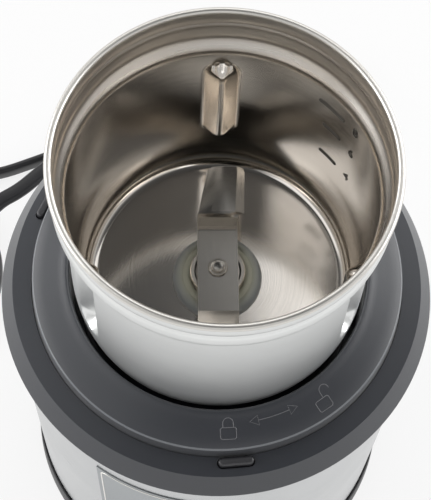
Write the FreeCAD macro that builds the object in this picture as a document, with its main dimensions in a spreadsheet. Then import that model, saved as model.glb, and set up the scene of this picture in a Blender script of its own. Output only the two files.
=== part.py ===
"""Electric spice grinder with a twist-lock steel cup, in millimetres, standing on z = 0, front towards -Y."""

import FreeCAD
import Part
import Sketcher
import math
import os
from types import SimpleNamespace
from FreeCAD import Placement, Rotation, Vector

SIZES = {
    # The deck on top of the body, read from the photograph
    "deck_radius": 56.0,
    "deck_edge_height": 107.5,
    "chamfer_width": 3.25,
    "chamfer_rise": 5.7,
    "annulus_rise": 0.7,
    "ring_plate": 2.9,
    "seam_inset": 8.1,
    "seam_gap": 0.15,
    "ledge_width": 1.8,
    "ledge_drop": 1.3,
    "skirt_wall": 1.4,
    "lip_rise": 4.1,
    "lip_inset": 0.45,
    "lip_round": 0.5,
    "crown_rise": 2.9,
    # The socket that the cup stands in
    "deck_width": 10.1,
    "bore_round": 0.8,
    "socket_wall": 2.4,
    "socket_depth": 11.5,
    "socket_floor": 2.5,
    "hub_rise": 0.8,
    "hub_radius": 9.5,
    "hook_depth": 1.8,
    "hook_height": 3.2,
    "hook_rise": 8.3,
    "seat_inset": 9.8,
    "seat_width": 6.0,
    "seat_thickness": 1.9,
    "running_gap": 0.05,
    # The steel shell and the base
    "deck_overhang": 2.5,
    "shell_taper": 0.75,
    "shell_wall": 0.6,
    "shell_gap": 0.1,
    "shell_tuck": 2.6,
    "base_clearance": 1.5,
    "base_flare": 0.4,
    "base_height": 9.5,
    "base_wall": 2.0,
    "base_round": 1.0,
    "shell_seat": 3.0,
    "plate_thickness": 2.5,
    "plate_gap": 0.2,
    "vent_length": 18.0,
    "vent_width": 2.4,
    "foot_radius": 6.0,
    "foot_height": 3.0,
    "foot_inset": 11.9,
    "label_thickness": 0.25,
    "label_height": 42.0,
    "label_drop": 16.5,
    # The three sprung pads beside the ring
    "pad_inset": 6.75,
    "pad_width": 2.2,
    "pad_length": 8.8,
    "pad_proud": 1.2,
    "pad_round": 0.6,
    "pad_slot_gap": 0.35,
    "pad_flange": 1.3,
    "pad_flange_length": 12.0,
    "pad_post_radius": 1.4,
    "pad_travel": 2.5,
    "spring_wire": 0.45,
    "spring_radius": 2.2,
    "switch_length": 11.0,
    "switch_height": 11.0,
    "switch_drop": 7.8,
    "bridge_thickness": 0.6,
    "bridge_length": 7.2,
    "contact_height": 1.8,
    # The grinding cup
    "cup_floor_rise": 17.7,
    "cup_sheet": 0.8,
    "cup_clearance": 1.7,
    "cup_mouth_step": 2.5,
    "cup_depth": 66.5,
    "cup_rim_wire": 0.9,
    "cup_shoulder_drop": 14.5,
    "cup_shoulder_rise": 4.0,
    "cup_bend_height": 12.8,
    "cup_bend_reach": 5.6,
    "cup_bead_drop": 6.0,
    "cup_bead_depth": 0.45,
    "rib_drop": 5.0,
    "rib_foot": 17.5,
    "rib_width": 9.0,
    "rib_depth": 3.4,
    "rib_cap": 4.5,
    "cup_base_clearance": 2.4,
    "cup_base_wall": 2.4,
    "cup_base_plate": 2.6,
    "lug_reach": 1.9,
    "lug_height": 3.3,
    "lug_gap": 0.4,
    # The blade and its bearing
    "bush_head_radius": 7.05,
    "bush_head_height": 4.9,
    "bush_radius": 5.4,
    "bush_length": 12.2,
    "nut_radius": 8.6,
    "nut_height": 2.9,
    "washer_radius": 11.5,
    "washer_height": 2.6,
    "shaft_radius": 3.0,
    "stud_radius": 2.0,
    "blade_thickness": 1.5,
    "blade_gap": 0.15,
    "blade_width": 10.4,
    "blade_hub_half": 11.2,
    "blade_step": 4.6,
    "blade_step_run": 1.3,
    "blade_clearance": 6.7,
    "blade_flare": 1.6,
    "blade_crown": 0.7,
    "rivet_radius": 2.5,
    "rivet_height": 0.8,
    # The drive dogs
    "dog_radius": 9.3,
    "dog_plate": 2.0,
    "dog_lug": 4.0,
    "dog_lug_width": 4.6,
    "dog_clearance": 0.6,
    # The motor
    "shaft_tail": 1.5,
    "bearing_radius": 8.0,
    "bearing_height": 6.0,
    "upper_bearing_drop": 8.5,
    "lower_bearing_height": 23.0,
    "bracket_radius": 35.5,
    "bracket_plate": 2.5,
    "bracket_hub_wall": 3.0,
    "stator_radius": 31.0,
    "stator_ring": 6.0,
    "stack_rise": 23.0,
    "stack_drop": 11.0,
    "air_gap": 0.6,
    "armature_radius": 17.0,
    "armature_slot": 2.0,
    "winding_bulge": 6.0,
    "commutator_radius": 9.0,
    "commutator_height": 9.0,
    "commutator_rise": 7.5,
    "brush_side": 5.0,
    "brush_length": 12.0,
    "brush_box_wall": 1.0,
    "fan_inset": 26.9,
    "fan_plate": 1.5,
    "fan_vane": 6.0,
    "fan_drop": 4.0,
    "bolt_radius": 1.7,
    "bolt_circle": 33.2,
    "mount_radius": 4.0,
    "mount_circle": 27.0,
    "screw_bite": 1.8,
    "boss_inset": 6.9,
    "boss_radius": 3.4,
    "boss_height": 8.0,
    "seal_drop": 0.4,
    # On the bottom plate
    "capacitor_width": 9.0,
    "capacitor_length": 16.0,
    "capacitor_height": 13.0,
    "capacitor_gap": 5.5,
    "terminal_width": 18.0,
    "terminal_side": 8.0,
    "terminal_gap": 2.0,
    "clamp_width": 16.0,
    "clamp_depth": 5.0,
    "clamp_gap": 1.5,
    "clamp_cover": 1.4,
    # The lead
    "cord_diameter": 5.4,
    "cord_exit_height": 9.0,
    "coil_start_radius": 37.5,
    "coil_gap": 0.7,
    "relief_collar": 4.8,
    "relief_tip": 3.7,
    "relief_length": 18.0,
    "relief_inside": 5.0,
    "plug_width": 35.0,
    "plug_height": 13.7,
    "plug_length": 34.0,
    "plug_neck": 9.0,
    "pin_radius": 2.0,
    "pin_length": 19.0,
    "pin_spacing": 18.6,
}

PAD_ANGLES = {"front": -90.0, "right": 30.0, "left": 150.0}
RIB_ANGLES = (84.6, 204.6, 324.6)
HOOK_ANGLES = (0.0, 120.0, 240.0)
TWIST = 30.0
BOSS_ANGLES = (20.0, 110.0, 200.0, 290.0)
HOOK_SWEEP = 24.0
LUG_SWEEP = 20.0
DOG_LUG_ANGLES = (0.0, 120.0, 240.0)
DOG_LEAD = 60.0
BLADE_ANGLE = -4.6
UP = Vector(0, 0, 1)


class Size:
    """A length that keeps the sheet formula it comes from beside its value."""

    def __init__(self, value, formula):
        self.value = value
        self.formula = formula

    def __float__(self):
        return float(self.value)

    def joined(self, other, sign, value, swapped=False):
        """Returns the result of one sum with its formula."""
        text = other.formula if isinstance(other, Size) else f"{other:g}"
        pair = (text, self.formula) if swapped else (self.formula, text)
        return Size(value, f"({pair[0]} {sign} {pair[1]})")

    def __add__(self, other):
        return self.joined(other, "+", float(self) + float(other))

    def __sub__(self, other):
        return self.joined(other, "-", float(self) - float(other))

    def __mul__(self, other):
        return self.joined(other, "*", float(self) * float(other))

    def __truediv__(self, other):
        return self.joined(other, "/", float(self) / float(other))

    def __radd__(self, other):
        return self.joined(other, "+", float(other) + float(self), swapped=True)

    def __rsub__(self, other):
        return self.joined(other, "-", float(other) - float(self), swapped=True)

    def __rmul__(self, other):
        return self.joined(other, "*", float(other) * float(self), swapped=True)

    def __neg__(self):
        return 0 - self


doc = FreeCAD.newDocument("spice_grinder")
sheet = doc.addObject("Spreadsheet::Sheet", "Sizes")
parts = {}


def fill_sheet():
    """Writes the driving sizes and returns them as named Size values."""
    for row, (alias, value) in enumerate(SIZES.items(), 1):
        sheet.set(f"A{row}", alias)
        sheet.set(f"B{row}", f"{value:g}")
        sheet.setAlias(f"B{row}", alias)
    doc.recompute()
    return SimpleNamespace(**{alias: Size(float(sheet.get(alias)), f"Sizes.{alias}") for alias in SIZES})


s = fill_sheet()

# Heights and radii that several pieces share
seam_radius = s.deck_radius - s.seam_inset
bore_radius = seam_radius - s.deck_width
pad_centre = s.deck_radius - s.pad_inset
shell_top_radius = s.deck_radius - s.deck_overhang
shell_foot_radius = shell_top_radius - s.shell_taper
base_radius = shell_top_radius + s.base_flare
foot_circle = base_radius - s.foot_inset
boss_circle = base_radius - s.boss_inset
cup_radius = bore_radius - s.cup_clearance
cup_mouth_radius = cup_radius + s.cup_mouth_step
cup_floor_radius = cup_radius - s.cup_bend_reach
cup_base_radius = bore_radius - s.cup_base_clearance
seat_inner = bore_radius - s.seat_inset
blade_reach = cup_radius - s.rib_depth - s.blade_clearance
socket_floor_height = s.deck_edge_height - s.socket_depth
hook_underside = socket_floor_height + s.hook_rise
cup_floor_height = socket_floor_height + s.cup_floor_rise
cup_rim_height = cup_floor_height + s.cup_depth
cup_shoulder_height = cup_rim_height - s.cup_shoulder_drop
label_top = s.deck_edge_height - s.label_drop
ring_top = s.deck_edge_height + s.chamfer_rise + s.annulus_rise
ledge_top = ring_top - s.ledge_drop
ring_under = ring_top - s.ring_plate
lip_height = ring_top + s.lip_rise
crown_height = lip_height + s.crown_rise
socket_outer = seam_radius - s.seam_gap
socket_under = socket_floor_height - s.socket_floor
switch_top = ring_under - s.switch_drop
upper_bearing_height = socket_under - s.upper_bearing_drop
stack_bottom = s.lower_bearing_height + s.stack_rise
commutator_bottom = s.lower_bearing_height + s.commutator_rise
fan_top = s.lower_bearing_height - s.fan_drop
fan_radius = base_radius - s.fan_inset
stack_height = upper_bearing_height - s.stack_drop - stack_bottom
shell_outside = shell_top_radius + s.shell_gap
shell_inside = shell_top_radius - s.shell_wall - s.shell_gap
skirt_inner = shell_inside - s.skirt_wall
base_top = s.base_clearance + s.base_height
shell_bottom = base_top - s.shell_seat
plate_top = s.base_clearance + s.plate_thickness
cup_under = cup_floor_height - s.cup_sheet
seat_bottom = socket_floor_height + s.running_gap
cup_base_bottom = seat_bottom + s.seat_thickness + s.running_gap
bush_top = cup_floor_height + s.bush_head_height
blade_under = bush_top + s.blade_gap
blade_top = blade_under + s.blade_thickness
motor_dog_bottom = socket_floor_height + s.hub_rise + s.dog_clearance * 0.7
motor_dog_top = motor_dog_bottom + s.dog_plate
cup_dog_bottom = motor_dog_top + s.dog_lug + s.dog_clearance
upper_plate_top = upper_bearing_height + s.bearing_height
cord_radius = s.cord_diameter / 2


def number(value):
    """Returns a Size or a plain number as a float."""
    return float(value)


def bind(thing, path, value):
    """Binds one property of an object to a formula on the sheet."""
    if isinstance(value, Size):
        thing.setExpression(path, value.formula)


def place(thing, x=0, y=0, z=0, angle=0):
    """Puts an object at x, y, z, given before a turn about the vertical axis."""
    cos, sin = math.cos(math.radians(angle)), math.sin(math.radians(angle))
    spot = (x * cos - y * sin, x * sin + y * cos, z)
    thing.Placement = Placement(Vector(*[number(v) for v in spot]), Rotation(UP, angle))
    for axis, value in zip("xyz", spot):
        bind(thing, f"Placement.Base.{axis}", value)
    return thing


def cylinder(name, radius, height, x=0, y=0, z=0, angle=0, sweep=360):
    """Returns an upright cylinder, or a wedge of one."""
    thing = doc.addObject("Part::Cylinder", name)
    thing.Angle = sweep
    thing.Radius = number(radius)
    thing.Height = number(height)
    bind(thing, "Radius", radius)
    bind(thing, "Height", height)
    return place(thing, x, y, z, angle)


def box(name, across, along, height, x=0, y=0, z=0, angle=0):
    """Returns a box centred on x, y with its underside at z."""
    thing = doc.addObject("Part::Box", name)
    for side, value in (("Length", across), ("Width", along), ("Height", height)):
        setattr(thing, side, number(value))
        bind(thing, side, value)
    return place(thing, x - across / 2, y - along / 2, z, angle)


def cut(name, base, tool):
    """Returns the base with the tool taken away."""
    thing = doc.addObject("Part::Cut", name)
    thing.Base = base
    thing.Tool = tool
    return thing


def fused(name, pieces):
    """Returns several pieces as one solid."""
    thing = doc.addObject("Part::MultiFuse", name)
    thing.Shapes = pieces
    thing.Refine = True
    return thing


def group(name, pieces):
    """Returns several pieces kept as separate solids."""
    thing = doc.addObject("Part::Compound", name)
    thing.Links = pieces
    return thing


def sector(name, inner, outer, z, height, start, sweep):
    """Returns a wedge of a ring from the start angle."""
    solid = cylinder(name + "_outer", outer, height, z=z, angle=start, sweep=sweep)
    return cut(name, solid, cylinder(name + "_inner", inner, height, z=z))


def tube(name, inner, outer, z, height):
    """Returns an upright ring."""
    return cut(name, cylinder(name + "_outer", outer, height, z=z), cylinder(name + "_inner", inner, height, z=z))


def revolved(name, outline, sweep=360):
    """Returns a body turned about the vertical axis from its outline of radius and height pairs."""
    body = doc.addObject("PartDesign::Body", name)
    sketch = body.newObject("Sketcher::SketchObject", name + "_outline")
    plane = next(f for f in body.Origin.OriginFeatures if f.Role == "XZ_Plane")
    sketch.AttachmentSupport = (plane, [""])
    sketch.MapMode = "FlatFace"
    corners = [Vector(number(r), number(z), 0) for r, z in outline]
    count = len(corners)
    for i in range(count):
        sketch.addGeometry(Part.LineSegment(corners[i], corners[(i + 1) % count]), False)
    for i in range(count):
        sketch.addConstraint(Sketcher.Constraint("Coincident", i, 2, (i + 1) % count, 1))
    for i, (r, z) in enumerate(outline):
        for kind, value, axis in (("DistanceX", r, -2), ("DistanceY", z, -1)):
            if number(value) == 0:
                sketch.addConstraint(Sketcher.Constraint("PointOnObject", i, 1, axis))
                continue
            index = sketch.addConstraint(Sketcher.Constraint(kind, i, 1, number(value)))
            bind(sketch, f"Constraints[{index}]", value)
    turn = body.newObject("PartDesign::Revolution", name + "_turn")
    turn.Profile = sketch
    turn.ReferenceAxis = (sketch, ["V_Axis"])
    turn.Angle = sweep
    doc.recompute()
    return body


def rounded(body, radius, *spots):
    """Rounds the circular edges of a turned body at the given radius and height pairs."""
    last = body.Tip
    names = []
    for i, edge in enumerate(last.Shape.Edges, 1):
        if not isinstance(edge.Curve, Part.Circle):
            continue
        for r, z in spots:
            if abs(edge.Curve.Radius - number(r)) < 1e-4 and abs(edge.Curve.Center.z - number(z)) < 1e-4:
                names.append(f"Edge{i}")
    fillet = body.newObject("PartDesign::Fillet", body.Name + "_round")
    fillet.Base = (last, names)
    fillet.Radius = number(radius)
    bind(fillet, "Radius", radius)
    doc.recompute()
    return body


def shaped(name, shape, placement=None):
    """Returns a feature that holds a shape made by hand, moved to its placement."""
    thing = doc.addObject("Part::Feature", name)
    thing.Shape = shape
    thing.Placement = placement or Placement()
    return thing


def keep(label, thing):
    """Names a finished sub-part."""
    thing.Label = label
    parts[label] = thing
    return thing


# Deck, socket and shell


def top_ring():
    """The outer deck ring, chamfered, with a groove that holds the shell and three pad slots."""
    outline = [
        (seam_radius, ring_top),
        (s.deck_radius - s.chamfer_width, s.deck_edge_height + s.chamfer_rise),
        (s.deck_radius, s.deck_edge_height),
        (shell_outside, s.deck_edge_height),
        (shell_outside, s.deck_edge_height + s.shell_tuck),
        (shell_inside, s.deck_edge_height + s.shell_tuck),
        (shell_inside, s.deck_edge_height),
        (skirt_inner, s.deck_edge_height),
        (skirt_inner, ring_under),
        (seam_radius - s.ledge_width, ring_under),
        (seam_radius - s.ledge_width, ledge_top),
        (seam_radius, ledge_top),
    ]
    ring = revolved("top_ring_body", outline)
    slot_end = pad_centre + s.pad_width / 2 + s.pad_slot_gap
    slot_start = seam_radius - s.ledge_width / 2
    slots = [
        box(f"pad_slot_{side}", slot_end - slot_start, s.pad_length + s.pad_slot_gap * 2, s.ring_plate + 2,
            x=(slot_end + slot_start) / 2, z=ring_under - 1, angle=angle)
        for side, angle in PAD_ANGLES.items()
    ]
    keep("top_ring", cut("top_ring_solid", ring, fused("pad_slots", slots)))


def cup_socket():
    """The raised inner deck with the well that holds the cup, its bayonet hooks and switch shelves."""
    register = seam_radius - s.ledge_width - s.seam_gap
    hole = s.shaft_radius * 2
    outline = [
        (bore_radius, crown_height),
        (socket_outer - s.lip_inset, lip_height),
        (socket_outer, ledge_top),
        (register, ledge_top),
        (register, ring_under),
        (register - s.socket_wall, ring_under),
        (register - s.socket_wall, lip_height - s.socket_wall),
        (bore_radius + s.socket_wall, crown_height - s.socket_wall * 1.2),
        (bore_radius + s.socket_wall, socket_under),
        (hole, socket_under),
        (hole, socket_floor_height + s.hub_rise),
        (s.hub_radius, socket_floor_height + s.hub_rise),
        (s.hub_radius, socket_floor_height),
        (bore_radius, socket_floor_height),
    ]
    body = revolved("cup_socket_body", outline)
    rounded(body, s.bore_round, (bore_radius, crown_height))
    rounded(body, s.lip_round, (socket_outer - s.lip_inset, lip_height))
    hooks = [
        sector(f"hook_{i}", bore_radius - s.hook_depth, bore_radius + s.socket_wall / 2,
               hook_underside, s.hook_height, angle - HOOK_SWEEP / 2, HOOK_SWEEP)
        for i, angle in enumerate(HOOK_ANGLES)
    ]
    shelf_end = switch_inner_face()
    shelf_start = bore_radius + s.socket_wall / 2
    shelves = [
        box(f"shelf_{side}", shelf_end - shelf_start, s.switch_length * 0.8, s.switch_height * 0.7,
            x=(shelf_end + shelf_start) / 2, z=switch_top - s.switch_height * 0.8, angle=angle)
        for side, angle in PAD_ANGLES.items()
    ]
    whole = fused("cup_socket_whole", [body, *hooks, *shelves])
    pilots = [
        cylinder(f"mount_pilot_{i}", s.bolt_radius + s.running_gap, s.screw_bite, x=s.mount_circle,
                 z=socket_under, angle=i * 90)
        for i in range(4)
    ]
    keep("cup_socket", cut("cup_socket_solid", whole, fused("mount_pilots", pilots)))


def switch_inner_face():
    """Returns the radius where the switch blocks meet their shelves."""
    return pad_centre - s.pad_width * 2.1


def seat_ring():
    """The soft ring on the floor of the well that the cup stands on."""
    keep("seat_ring", tube("seat_ring_solid", seat_inner, seat_inner + s.seat_width, seat_bottom,
                           s.seat_thickness))


def lead_hole(name):
    """Returns the rod that cuts the lead's way out at the back."""
    hole = cylinder(name, s.relief_tip + s.seam_gap, s.deck_radius)
    hole.Placement = Placement(Vector(0, 0, number(s.cord_exit_height)), Rotation(Vector(1, 0, 0), -90))
    bind(hole, "Placement.Base.z", s.cord_exit_height)
    return hole


def steel_shell():
    """The steel sleeve, slightly narrower at its foot, with a notch at the back for the lead."""
    top = s.deck_edge_height + s.shell_tuck - s.shell_gap
    outline = [
        (shell_top_radius, top),
        (shell_top_radius - s.shell_wall, top),
        (shell_top_radius - s.shell_wall, s.deck_edge_height),
        (shell_foot_radius - s.shell_wall, shell_bottom),
        (shell_foot_radius, shell_bottom),
        (shell_top_radius, s.deck_edge_height),
    ]
    sleeve = revolved("steel_shell_body", outline)
    keep("steel_shell", cut("steel_shell_solid", sleeve, lead_hole("shell_notch")))


def base_ring():
    """The moulded ring under the shell, with a hole at the back for the lead."""
    seat = shell_foot_radius + s.shell_gap
    ledge = shell_foot_radius - s.shell_wall - s.base_wall
    outline = [
        (base_radius, s.base_clearance),
        (shell_top_radius, base_top),
        (seat + s.shell_gap, base_top),
        (seat + s.shell_gap, shell_bottom),
        (ledge, shell_bottom),
        (ledge, shell_bottom - s.base_wall * 0.75),
        (base_radius - s.base_wall, plate_top),
        (base_radius - s.base_wall, s.base_clearance),
    ]
    body = revolved("base_ring_body", outline)
    rounded(body, s.base_round, (base_radius, s.base_clearance))
    hole = lead_hole("lead_hole")
    room = cylinder("collar_room", s.relief_collar + s.seam_gap, s.relief_inside + s.base_wall * 1.25)
    room_start = base_radius - s.base_wall - s.relief_inside - s.base_wall
    room.Placement = Placement(Vector(0, number(room_start), number(s.cord_exit_height)),
                               Rotation(Vector(1, 0, 0), -90))
    bind(room, "Placement.Base.y", room_start)
    bind(room, "Placement.Base.z", s.cord_exit_height)
    rib = ledge + s.base_wall / 2 - boss_circle
    bosses = []
    for i, angle in enumerate(BOSS_ANGLES):
        bosses.append(cylinder(f"boss_{i}", s.boss_radius, s.boss_height, x=boss_circle, z=plate_top,
                               angle=angle))
        bosses.append(box(f"boss_rib_{i}", rib, s.base_wall, shell_bottom - plate_top,
                          x=boss_circle + rib / 2, z=plate_top, angle=angle))
    pilots = [
        cylinder(f"boss_pilot_{i}", s.bolt_radius + s.running_gap, s.boss_height, x=boss_circle,
                 z=plate_top, angle=angle)
        for i, angle in enumerate(BOSS_ANGLES)
    ]
    whole = fused("base_ring_whole", [body, *bosses])
    keep("base_ring", cut("base_ring_solid", whole, fused("base_ring_holes", [hole, room, *pilots])))


def bottom_plate():
    """The plate that closes the base, with air slots and four foot recesses."""
    radius = base_radius - s.base_wall - s.plate_gap
    plate = cylinder("bottom_plate_disc", radius, s.plate_thickness, z=s.base_clearance)
    slots = [
        box(f"vent_{i}", s.vent_length, s.vent_width, s.plate_thickness + 2,
            x=s.vent_length / 2 + s.shaft_radius * 2.6, z=s.base_clearance - 1, angle=i * 30)
        for i in range(12)
    ]
    recess = s.foot_height - s.base_clearance
    recesses = [
        cylinder(f"foot_recess_{i}", s.foot_radius, recess, x=foot_circle, z=s.base_clearance,
                 angle=45 + i * 90)
        for i in range(4)
    ]
    screw_holes = [
        cylinder(f"plate_screw_hole_{i}", s.bolt_radius + s.running_gap, s.plate_thickness,
                 x=boss_circle, z=s.base_clearance, angle=angle)
        for i, angle in enumerate(BOSS_ANGLES)
    ]
    openings = fused("plate_openings", slots + recesses + screw_holes)
    keep("bottom_plate", cut("bottom_plate_solid", plate, openings))


def rubber_feet():
    """Four round feet let into the bottom plate."""
    feet = [
        cylinder(f"foot_{i}", s.foot_radius, s.foot_height, x=foot_circle, angle=45 + i * 90)
        for i in range(4)
    ]
    keep("rubber_feet", group("rubber_feet_set", feet))


def front_label():
    """A thin bare plate on the front left of the shell, with the shell's own taper."""
    bottom = label_top - s.label_height
    slope = (shell_top_radius - shell_foot_radius) / (s.deck_edge_height - shell_bottom)
    low = shell_foot_radius + slope * (bottom - shell_bottom)
    high = shell_foot_radius + slope * (label_top - shell_bottom)
    outline = [
        (low, bottom),
        (low + s.label_thickness, bottom),
        (high + s.label_thickness, label_top),
        (high, label_top),
    ]
    plate = revolved("front_label_body", outline, sweep=32)
    plate.Placement = Placement(Vector(), Rotation(UP, -130.5))
    keep("front_label", plate)


# Sprung pads and their switches


def switch_set(side, angle):
    """One pad with its return spring, contact bridge, switch block and contacts."""
    middle = pad_centre - s.pad_width * 0.35
    flange_top = ring_under - s.seam_gap
    flange_bottom = flange_top - s.pad_flange
    pad_height = ring_top + s.pad_proud - flange_top
    ends = (s.pad_length - s.pad_width) / 2
    blocks = [box(f"pad_block_{side}", s.pad_width, s.pad_length - s.pad_width, pad_height,
                  x=pad_centre, z=flange_top, angle=angle)]
    for i, sign in enumerate((-1, 1)):
        blocks.append(cylinder(f"pad_end_{side}_{i}", s.pad_width / 2, pad_height, x=pad_centre,
                               y=ends * sign, z=flange_top, angle=angle))
    key = fused(f"pad_key_{side}", blocks)
    doc.recompute()
    round_top = doc.addObject("Part::Fillet", f"pad_round_{side}")
    round_top.Base = key
    top = number(flange_top + pad_height)
    edges = [
        (i, number(s.pad_round), number(s.pad_round))
        for i, edge in enumerate(key.Shape.Edges, 1)
        if all(abs(v.Point.z - top) < 1e-4 for v in edge.Vertexes)
    ]
    round_top.Edges = edges
    post_length = flange_bottom - bridge_top()
    flange = box(f"pad_flange_{side}", s.pad_width * 1.6, s.pad_flange_length, s.pad_flange,
                 x=middle, z=flange_bottom, angle=angle)
    post = cylinder(f"pad_post_{side}", s.pad_post_radius, post_length, x=middle, z=bridge_top(),
                    angle=angle)
    keep(f"switch_pad_{side}", fused(f"switch_pad_{side}_solid", [round_top, flange, post]))
    bridge = box(f"bridge_{side}_solid", s.pad_width, s.bridge_length, s.bridge_thickness,
                 x=middle, z=bridge_top() - s.bridge_thickness, angle=angle)
    keep(f"contact_bridge_{side}", bridge)
    switch_block(side, angle, middle)
    spring_length = number(flange_bottom) - number(switch_top)
    where = Placement(Vector(0, 0, 0), Rotation(UP, angle)).multVec(Vector(number(middle), 0, 0))
    coil = helix_spring(number(s.spring_radius), number(s.spring_wire), spring_length, turns=5)
    spot = Placement(Vector(where.x, where.y, number(switch_top + s.spring_wire * 1.2)), Rotation())
    keep(f"pad_spring_{side}", shaped(f"pad_spring_{side}_solid", coil, spot))


def bridge_top():
    """Returns the height of the upper face of the contact bridges at rest."""
    floor = switch_top - s.switch_height + s.brush_box_wall * 1.5
    return floor + s.contact_height + s.pad_travel + s.bridge_thickness


def switch_block(side, angle, middle):
    """The block under a pad, hollow inside, with a hole for the pad's post."""
    wall = s.brush_box_wall
    inner_face = switch_inner_face()
    width = (middle - inner_face) * 2
    bottom = switch_top - s.switch_height
    outer = box(f"switch_outer_{side}", width, s.switch_length, s.switch_height, x=middle, z=bottom,
                angle=angle)
    room = box(f"switch_room_{side}", width - wall * 2, s.switch_length - wall * 2,
               s.switch_height - wall * 3, x=middle, z=bottom + wall * 1.5, angle=angle)
    hole = cylinder(f"switch_hole_{side}", s.pad_post_radius + s.running_gap * 4, s.switch_height,
                    x=middle, z=bottom + wall * 2, angle=angle)
    block = cut(f"switch_block_{side}_solid", outer, fused(f"switch_void_{side}", [room, hole]))
    keep(f"switch_block_{side}", block)


def switch_contacts():
    """Two fixed contacts in the bottom of each switch block."""
    middle = pad_centre - s.pad_width * 0.35
    z = switch_top - s.switch_height + s.brush_box_wall * 1.5
    spread = s.bridge_length / 2 - s.contact_height / 2
    blocks = [
        box(f"contact_{side}_{i}", s.pad_width, s.contact_height, s.contact_height, x=middle,
            y=spread * sign, z=z, angle=angle)
        for side, angle in PAD_ANGLES.items()
        for i, sign in enumerate((-1, 1))
    ]
    keep("switch_contacts", group("switch_contacts_set", blocks))


def helix_spring(radius, wire, length, turns):
    """Returns a coil spring whose wire starts at z = 0 and ends a little short of its length."""
    rise = length - wire * 2.4
    path = Part.makeHelix(rise / turns, rise, radius)
    profile = Part.Wire(Part.makeCircle(wire / 2, Vector(radius, 0, 0), Vector(0, 1, 0)))
    return Part.Wire(path).makePipeShell([profile], True, True)


# Cup


def cup_profile(offset):
    """Returns the half outline of the cup's inside, moved outwards by the offset, as edges from the axis up."""
    floor = number(cup_floor_height) - offset
    wall = number(cup_radius) + offset
    mouth = number(cup_mouth_radius) + offset
    bend_top = number(cup_floor_height) + number(s.cup_bend_height)
    shoulder = number(cup_shoulder_height)
    shoulder_top = shoulder + number(s.cup_shoulder_rise)
    rim = number(cup_rim_height) - number(s.cup_rim_wire)
    bead = rim - number(s.cup_bead_drop) + number(s.cup_rim_wire)
    depth = number(s.cup_bead_depth)
    flat = number(cup_floor_radius)
    reach = wall - flat
    height = bend_top - floor

    def spot(r, z):
        return Vector(r, 0, z)

    corner = spot(flat + reach * 0.56, floor + height * 0.12)
    edges = [
        Part.LineSegment(spot(0, floor), spot(flat, floor)),
        Part.Arc(spot(flat, floor), spot(flat + reach * 0.33, floor + height * 0.028), corner),
        Part.Arc(corner, spot(flat + reach * 0.87, floor + height * 0.47), spot(wall, bend_top)),
        Part.LineSegment(spot(wall, bend_top), spot(wall, shoulder)),
        Part.LineSegment(spot(wall, shoulder), spot(mouth, shoulder_top)),
        Part.LineSegment(spot(mouth, shoulder_top), spot(mouth, bead - depth * 2)),
        Part.Arc(spot(mouth, bead - depth * 2), spot(mouth - depth, bead), spot(mouth, bead + depth * 2)),
        Part.LineSegment(spot(mouth, bead + depth * 2), spot(mouth, rim)),
    ]
    return [edge.toShape() for edge in edges], mouth, rim


def turned_solid(offset):
    """Returns the solid inside the cup's outline, closed at the rim."""
    edges, mouth, rim = cup_profile(offset)
    edges.append(Part.makeLine(Vector(mouth, 0, rim), Vector(0, 0, rim)))
    edges.append(Part.makeLine(Vector(0, 0, rim), Vector(0, 0, edges[0].Vertexes[0].Point.z)))
    face = Part.Face(Part.Wire(edges))
    return face.revolve(Vector(0, 0, 0), UP, 360)


def rib_wedge(angle, sheet_offset):
    """Returns the pressed rib as a ridge that points inwards, deeper inside than outside."""
    wall = number(cup_radius) + number(s.cup_sheet) + 2
    crest = number(cup_radius) - number(s.rib_depth) + sheet_offset
    half = number(s.rib_width) / 2 - sheet_offset * 0.6
    reach = (wall - crest) * half / number(s.rib_depth) * 0.72
    bottom = number(cup_floor_height) + number(s.rib_foot)
    top = number(cup_shoulder_height - s.rib_drop) - sheet_offset
    cap = number(s.rib_cap)

    def section(z, tip):
        points = [Vector(wall, -reach, z), Vector(tip + 0.6, -0.9, z), Vector(tip + 0.6, 0.9, z),
                  Vector(wall, reach, z)]
        return Part.makePolygon(points + points[:1])

    low = Part.makeLoft([section(bottom - cap, wall - 0.6), section(bottom, crest)], True, True)
    main = Part.makeLoft([section(bottom, crest), section(top - cap, crest)], True, True)
    high = Part.makeLoft([section(top - cap, crest), section(top, wall - 0.6)], True, True)
    wedge = low.fuse([main, high]).removeSplitter()
    wedge.rotate(Vector(), UP, angle)
    return wedge


def cup_shell():
    """The pressed steel cup with its shoulder, bead, three ribs and rolled rim."""
    sheet_thickness = number(s.cup_sheet)
    inside = turned_solid(0)
    outside = turned_solid(sheet_thickness)
    for angle in RIB_ANGLES:
        inside = inside.cut(rib_wedge(angle, 0))
        outside = outside.cut(rib_wedge(angle, sheet_thickness))
    wire = number(s.cup_rim_wire)
    rim_radius = number(cup_mouth_radius) + wire * 0.45
    rim = Part.makeTorus(rim_radius, wire, Vector(0, 0, number(cup_rim_height) - wire), UP)
    hole = Part.makeCylinder(number(s.bush_radius) + number(s.running_gap), 10,
                             Vector(0, 0, number(cup_under) - 5))
    shell = outside.cut(inside).fuse(rim).cut(hole)
    keep("cup_shell", shaped("cup_shell_solid", shell.removeSplitter()))


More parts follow.
